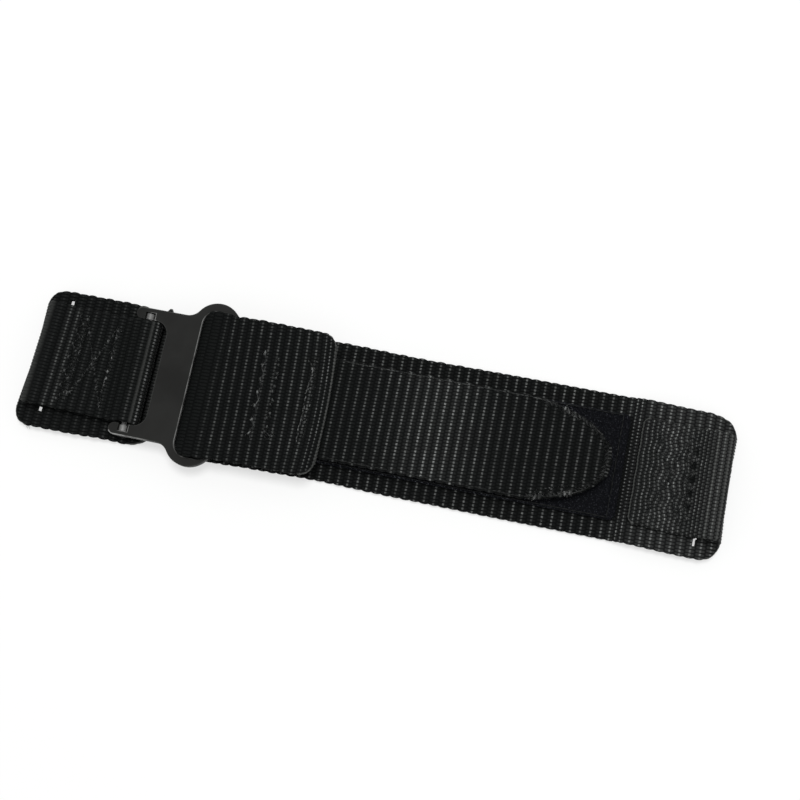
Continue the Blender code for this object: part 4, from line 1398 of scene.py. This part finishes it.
def sew_flap_seams():
    """The two seams across the flap that hold the tab."""
    sewing = Sewing(31, FLAP_TOP - 0.02)
    left, right = -20.1, -17.45
    rows = FLAP_SEAM_ROWS
    for index, y in enumerate(rows):
        sewing.knot(left, y, 0.7, 0.9)
        sewing.fray(left, y, 5, 0.35, 0.8, 0.5)
        if index + 1 < len(rows):
            ahead = rows[index + 1]
            for shift in (0.4, 0.8):
                bend = left + shift
                middle = (bend, (y + ahead) / 2)
                shine = sewing.chance.uniform(0, 0.3)
                sewing.run([(left, y), middle, (left, ahead)], 0.15, shine, 0.08)
            for shift in (-0.5, 0.4):
                place = (y + ahead) / 2 + shift
                sewing.knot(right + sewing.chance.uniform(-0.2, 0.3), place, 0.45, 0.6)
            sewing.fray(right, (y + ahead) / 2, 7, 0.5, 0.6, 0.45)
    for _ in range(9):
        sewing.fray(-16.7, -7.0, 2, 0.9, 0.7, 0.8)
    sewing.finish("flap_front_stitches", "closure", "flap_seam_front", lay_flap)
    sewing = Sewing(32, FLAP_TOP - 0.02)
    sewing.run(needle_points(FLAP_SEAM_BENDS, 0.6), 0.12, 0.7, 0.11)
    sewing.crumbs(needle_points(FLAP_SEAM_BENDS, 0.45), 0.2, 0.45, 0.7, 0.4)
    specks = [(-10.55, 7.2), (-10.6, -7.4)]
    sewing.crumbs(needle_points(specks, 0.6), 0.22, 0.4, 0.4)
    for _ in range(20):
        y = sewing.chance.uniform(-7.5, 7.5)
        sewing.fray(-10.7, y, 3, 0.45, 0.5, 0.35)
    sewing.finish("flap_back_stitches", "closure", "flap_seam_back", lay_flap)


def nose_edge(start_x, step):
    """Evenly spaced places along the tab's edge, from its +Y side round the tip to the -Y side,
    and the inward direction at each."""
    width = nose_width(TAB_TIP_X, TAB_HALF)
    reach = NOSE_DEPTHS[-1]
    rows = np.concatenate([[start_x], TAB_TIP_X - reach * (1 - np.linspace(0, 1, 60) ** 1.7)])
    upper = [(x, y) for x, y in zip(rows, width(rows)) if x >= start_x]
    points = needle_points(upper + [(x, -y) for x, y in upper[-2::-1]], step)
    heading = np.gradient(points, axis=0)
    heading /= np.linalg.norm(heading, axis=1)[:, None]
    return points, np.stack([heading[:, 1], -heading[:, 0]], axis=1)


def sew_tab_seam():
    """The seam along the tab's edge, overcast and frayed round its nose."""
    sewing = Sewing(41, TAB_TOP - 0.02)
    edge, inward = nose_edge(FLAP_END_X + 0.55, 0.8)
    line = edge + 0.4 * inward
    for first, second in zip(line[:-1], line[1:]):
        if first[0] < 31:
            sewing.run([first, second], 0.04, 0.2 if first[1] > 0 else 0.05, 0.11)
    edge, inward = nose_edge(29.5, 0.4)
    for index in range(len(edge) - 1):
        x, y = edge[index]
        upper = hump(x, 35.5, 3.6) * (y > 0)
        lower = hump(x, 34.0, 3.2) * (y < 0)
        share = 0.3 + 0.6 * float(upper) + 0.9 * float(lower)
        starts = smooth_share((x - 29.5) / 1.5)
        near, far = edge[index] + 0.3 * inward[index], edge[index] + inward[index]
        after = min(index + 1 + index % 2, len(edge) - 1)
        if sewing.chance.random() < 0.8 * starts:
            across = edge[after] + sewing.chance.uniform(0.7, 1.0) * inward[after]
            sewing.run([near, across], 0.08, 0.3 * share, 0.09)
        if sewing.chance.random() < 0.7:
            ahead = edge[index + 1] + 0.35 * inward[index + 1]
            sewing.run([near, ahead], 0.07, 0.32 * share, 0.1)
        if y < 0 and index % 2 and x < 40:
            back = edge[index + 1] + 1.7 * inward[index + 1]
            sewing.crumbs([back, far], 0.08, 0.35, 0.22)
        sewing.fray(*(near + far) / 2, 3, 0.4, 0.6, 0.5 * share)
    for x, y in NOSE_KNOTS:
        sewing.knot(x, y, 0.8, 1.0)
        sewing.fray(x, y, 6, 0.3, 0.8, 1.0)
    sewing.finish("tab_stitches", "closure", "tab_seam")


def sew_patch_seam():
    """The seam round the loop patch, mostly sunk in its pile."""
    top = WEB_THICKNESS / 2 + PLY_GAP + PATCH_THICKNESS
    sewing = Sewing(51, lambda x: base_height(x) + top - 0.02)
    left, right, edge = -19.9, 43.9, 9.15
    path = [(left, -edge), (left, edge), (right, edge), (right, -edge)]
    for first, second in zip(path, path[1:] + path[:1]):
        sewing.run(needle_points([first, second], 1.3), 0.04, 0.0, 0.11, 0.02)
    sewing.finish("patch_stitches", "long_piece", "patch_seam")


# Hook and loop tape


def make_loop_patch():
    """The brushed loop patch on the long webbing, with the pile that stands on it."""
    lift = (WEB_THICKNESS + PATCH_THICKNESS) / 2 + PLY_GAP
    places = even_steps(PATCH_START_X, PATCH_END_X, 0.5)
    line = Line([(x, base_height(x) + lift) for x in places])
    rows = even_steps(0, line.length, 0.3)
    columns = even_steps(-PATCH_HALF, PATCH_HALF, 0.3)
    piece, row, column = grid("loop_patch_cloth", len(rows), len(columns))
    place = line.at(rows)
    half = round_ends(line.length, plain_width(PATCH_HALF), 1, 1)(rows)
    y = columns[column] * half[row] / PATCH_HALF
    points = np.stack([place[row, 0], y, place[row, 1] - PILE_DEPTH], axis=1)
    put_points(piece, points)
    chance = np.random.default_rng(7)
    from_edge = PATCH_HALF - np.abs(columns[column])
    rim = 0.5 + 0.5 * np.sqrt(1 - (1 - np.clip(from_edge / 0.5, 0, 1)) ** 2)
    plump = (0.8 + 0.16 * chance.random(len(points))) * rim
    thicken(piece, plump, PATCH_THICKNESS - 2 * PILE_DEPTH)
    finished(piece, LOOP_BLACK, "long_piece", "loop_patch")
    pile = []
    for _ in range(TUFTS):
        x = chance.uniform(PATCH_START_X + 0.3, PATCH_END_X - 0.15)
        side = chance.uniform(-PATCH_HALF + 0.05, PATCH_HALF - 0.05)
        top = base_height(x) + lift + PATCH_THICKNESS / 2 - 0.3
        angle = chance.uniform(0, 2 * math.pi)
        step = np.array([math.cos(angle), math.sin(angle), 0]) * chance.uniform(0.25, 0.5)
        start = np.array([x, side, top])
        arch = chance.uniform(0.1, 0.3)
        pile.append((start, start + step, UP, TUFT_RADIUS, arch, 0.05, 0.0))
    strands("loop_pile_tufts", FIBRE, pile, LOOP_BLACK, "long_piece", None)


def make_hook_tape():
    """The hook tape under the tab, with rows of small hooks that face down."""
    start, tip = TAB_START_X + HOOK_TAPE_START, TAB_TIP_X - HOOK_TAPE_INSET
    half = TAB_HALF - HOOK_TAPE_INSET
    line = Line([(start, HOOK_Z + HOOK_TAPE_LIFT), (tip, HOOK_Z + HOOK_TAPE_LIFT)])
    width = nose_width(line.length, half)
    rows = nose_rows(line.length, 0.8)
    columns = even_steps(-half, half, 0.8)
    piece, row, column = grid("hook_tape_cloth", len(rows), len(columns))
    place = line.at(rows)
    y = columns[column] * width(rows)[row] / half
    points = np.stack([place[row, 0], y, place[row, 1]], axis=1)
    put_points(piece, points)
    thicken(piece, np.ones(len(points)), 0.6)
    finished(piece, HOOK_BLACK, "closure", "hook_tape")
    hooks = []
    spacing = HOOK_SPACING
    low = HOOK_Z - 0.05
    for index in range(int(line.length / spacing)):
        x = start + (index + 0.5) * spacing
        reach = float(width(np.array([x - start]))[0]) - 0.5
        count = int(reach * 2 / spacing)
        for step in range(count):
            side = -reach + (step + 0.5) * 2 * reach / count
            near = np.array([x - HOOK_REACH / 2, side, low])
            far = near + np.array([HOOK_REACH, 0.0, 0.0])
            hooks.append((near, far, -UP, 0.07, HOOK_REACH, 0.05, 0.0))
    strands("hook_tape_hooks", FIBRE, hooks, HOOK_BLACK, "closure", None)


# Buckle


def mirrored(half):
    """A closed outline from its +Y half."""
    return half + [(x, -y) for x, y in reversed(half) if abs(y) > 0.001]


def frame_outline():
    """The buckle's outline from above: two arms of a fork, and the round shoulders of the ring."""
    tip_radius = ARM_WIDTH / 2
    tip_x = BAR_X - ARM_TIP_REACH
    arm_outer = FORK_HALF_GAP + ARM_WIDTH
    lobe_x, lobe_y = RING_RIGHT_X - LOBE_RADIUS, RING_OUTER_Y - LOBE_RADIUS
    neck_y = arm_outer + NECK_RADIUS
    reach = NECK_RADIUS + LOBE_RADIUS
    neck_x = lobe_x - math.sqrt(reach**2 - (neck_y - lobe_y) ** 2)
    meeting = math.degrees(math.atan2(neck_y - lobe_y, neck_x - lobe_x))
    corner = FORK_CORNER
    inner = arc((FORK_EDGE_X - corner, FORK_HALF_GAP - corner), corner, 0, 90, 18)
    tip = arc((tip_x + tip_radius, FORK_HALF_GAP + tip_radius), tip_radius, 270, 90, 28)
    neck = arc((neck_x, neck_y), NECK_RADIUS, -90, meeting - 180, 14)
    lobe = arc((lobe_x, lobe_y), LOBE_RADIUS, meeting, 0, 44)
    return mirrored([(FORK_EDGE_X, 0)] + inner + tip + neck + lobe[1:])


def opening_outline():
    """The ring's opening from above."""
    corner, small = OPENING_CORNER, BAR_CORNER
    left = arc((OPENING_LEFT_X + corner, OPENING_HALF - corner), corner, 180, 90, 20)
    right = arc((OPENING_RIGHT_X - small, OPENING_HALF - small), small, 90, 0, 8)
    return mirrored(left + right)


def slot_outline():
    """The slot for the bar's collars, from the side: round, open above, with a lip and a ledge."""
    rim = FRAME_TOP - BAR_Z
    ledge_x = SLOT_RADIUS + LEDGE_LENGTH
    above = rim + CUT_BEYOND
    return arc((0, 0), SLOT_RADIUS, SLOT_LIP, 360, 40) + [
        (SLOT_RADIUS, rim - LEDGE_DEPTH),
        (ledge_x, rim - LEDGE_DEPTH),
        (ledge_x, above),
        (SLOT_RADIUS * math.cos(math.radians(SLOT_LIP)), above),
    ]


def cut_plate(name, outline, low, high):
    """A plate of one thickness: a ring of points drawn to an outline, filled and extruded."""
    deselect()
    bpy.ops.mesh.primitive_circle_add(vertices=len(outline), radius=MM, fill_type="NGON")
    plate = named(name)
    put_points(plate, np.array([(x, y, low) for x, y in outline]))
    bpy.ops.object.mode_set(mode="EDIT")
    bpy.ops.mesh.select_all(action="SELECT")
    bpy.ops.mesh.extrude_region_move(TRANSFORM_OT_translate={"value": (0, 0, (high - low) * MM)})
    bpy.ops.object.mode_set(mode="OBJECT")
    turn_outward()
    return plate


def rod(name, radius, low, high, place, bevel=0.0):
    """A round rod along Y between two places."""
    deselect()
    bpy.ops.mesh.primitive_cylinder_add(
        vertices=48,
        radius=radius * MM,
        depth=(high - low) * MM,
        location=Vector((place[0], (low + high) / 2, place[1])) * MM,
        rotation=(math.radians(90), 0, 0),
    )
    piece = named(name)
    bpy.ops.object.transform_apply(location=True, rotation=True, scale=True)
    if bevel:
        round_edges(piece, bevel, 2)
    return piece


def round_edges(piece, width, segments):
    """Bevels the edges where two faces meet at a steep angle."""
    pick(piece)
    work = bmesh.new()
    work.from_mesh(piece.data)
    for edge in work.edges:
        edge.select = edge.calc_face_angle(0) > math.radians(STEEP)
    work.select_flush_mode()
    work.to_mesh(piece.data)
    work.free()
    bpy.ops.object.mode_set(mode="EDIT")
    bpy.context.tool_settings.mesh_select_mode = (False, True, False)
    bpy.ops.mesh.bevel(offset=width * MM, segments=segments, affect="EDGES", clamp_overlap=True)
    bpy.ops.object.mode_set(mode="OBJECT")


def combine(piece, tool, operation):
    """Joins a tool to a piece, or cuts it away, and removes the tool."""
    modifier = piece.modifiers.new(operation.lower(), "BOOLEAN")
    modifier.operation = operation
    modifier.solver = "EXACT"
    modifier.object = tool
    apply_modifier(piece, modifier)
    bpy.data.objects.remove(tool, do_unlink=True)


def make_buckle():
    """The one-piece buckle: fork, plate and ring, with rounded rims, barrels, slots and holes."""
    piece = cut_plate("buckle_metal", frame_outline(), FRAME_BOTTOM, FRAME_TOP)
    low, high = FRAME_BOTTOM - CUT_BEYOND, FRAME_TOP + CUT_BEYOND
    combine(piece, cut_plate("opening", opening_outline(), low, high), "DIFFERENCE")
    round_edges(piece, RIM_BEVEL, 3)
    arm_outer = FORK_HALF_GAP + ARM_WIDTH
    axis = (BAR_X, BAR_Z)
    for low, high in ((-arm_outer, -FORK_HALF_GAP), (FORK_HALF_GAP, arm_outer)):
        barrel = rod("barrel", BARREL_RADIUS, low + 0.01, high - 0.01, axis, 0.16)
        combine(piece, barrel, "UNION")
    wall_y = arm_outer - ARM_WALL
    slot = cut_plate("slot", slot_outline(), -wall_y, wall_y)
    put_points(slot, points_of(slot)[:, [0, 2, 1]] / MM + np.array([BAR_X, 0, BAR_Z]))
    slot.data.flip_normals()
    combine(piece, slot, "DIFFERENCE")
    reach = arm_outer + CUT_BEYOND
    combine(piece, rod("hole", NIB_HOLE_RADIUS, -reach, reach, axis), "DIFFERENCE")
    pick(piece)
    bpy.ops.object.shade_smooth_by_angle(angle=math.radians(SHARP))
    mark_rims(piece)
    weighted = piece.modifiers.new("weighted", "WEIGHTED_NORMAL")
    weighted.keep_sharp = True
    apply_modifier(piece, weighted)
    finished(piece, COATED_METAL, "buckle", "buckle_frame")


def mark_rims(piece):
    """Marks the points on the upper rounded rims, where the coating shows wear and a painted
    highlight.

    A narrow border cut round the flat face keeps the marks off its middle. The marks are strongest
    along the plate's edge beside the webbing, on the lower arm and at the slots' ledges, where the
    painted highlight stands for the light that these rims catch."""
    work = bmesh.new()
    work.from_mesh(piece.data)
    flat = [
        face
        for face in work.faces
        if face.normal.z > 0.99 and face.calc_center_median().z / MM > FRAME_TOP - 0.01
    ]
    bmesh.ops.inset_region(work, faces=flat, thickness=RUBBED_HIGHLIGHT_BORDER * MM, use_even_offset=True)
    marks = []
    ledge_x = BAR_X + SLOT_RADIUS + LEDGE_LENGTH
    for vertex in work.verts:
        x, y, z = vertex.co / MM
        tilted = any(0.15 < face.normal.z < 0.97 for face in vertex.link_faces)
        rubbed = RUBBED_HIGHLIGHT_ELSEWHERE if tilted else 0.0
        for left, right, low, high, share in RUBBED_HIGHLIGHT_ZONES:
            if tilted and left <= x < right and low < y < high:
                rubbed = share
        # The slots' ledges get a full painted highlight.
        on_ledge = abs(x - ledge_x) < 0.02 and z > FRAME_TOP - 0.02
        marks.append(1.0 if on_ledge else rubbed)
    work.to_mesh(piece.data)
    work.free()
    set_share(piece, "rim", marks)


def dress_spring_bar():
    """Gives the spring bar's pieces their steel."""
    for name in ("tube", "tip_upper", "tip_lower", "spring"):
        finished(bpy.data.objects[f"spring_bar_{name}"], BAR_STEEL)


def add_loose_threads():
    """A few pale thread ends at the pad's lower corner."""
    chance = random.Random(61)
    ends = []
    for _ in range(5):
        angle = math.radians(chance.uniform(205, 300))
        reach = chance.uniform(0.5, 1.1)
        start = np.array(LOOSE_CORNER) + np.array([chance.uniform(-0.3, 0.3), 0, 0])
        step = np.array([math.cos(angle), math.sin(angle), -0.2]) * reach
        ends.append((start, start + step, UP, 0.045, 0.1, 0.0, 0.6))
    strands("loose_thread_ends", FIBRE, ends, LINT_WHITE, "short_piece", None)


add_camera()
add_floor()
add_lights()
make_short_pad()
make_short_strip()
make_base_webbing()
make_turn_and_flap()
make_lug_strip()
make_tab()
make_loop_patch()
make_hook_tape()
sew_tunnel_seams()
sew_crossed_seams()
sew_flap_seams()
sew_tab_seam()
sew_patch_seam()
make_buckle()
dress_spring_bar()
add_loose_threads()
for form in (STITCH, FIBRE):
    bpy.data.objects.remove(form.shape, do_unlink=True)
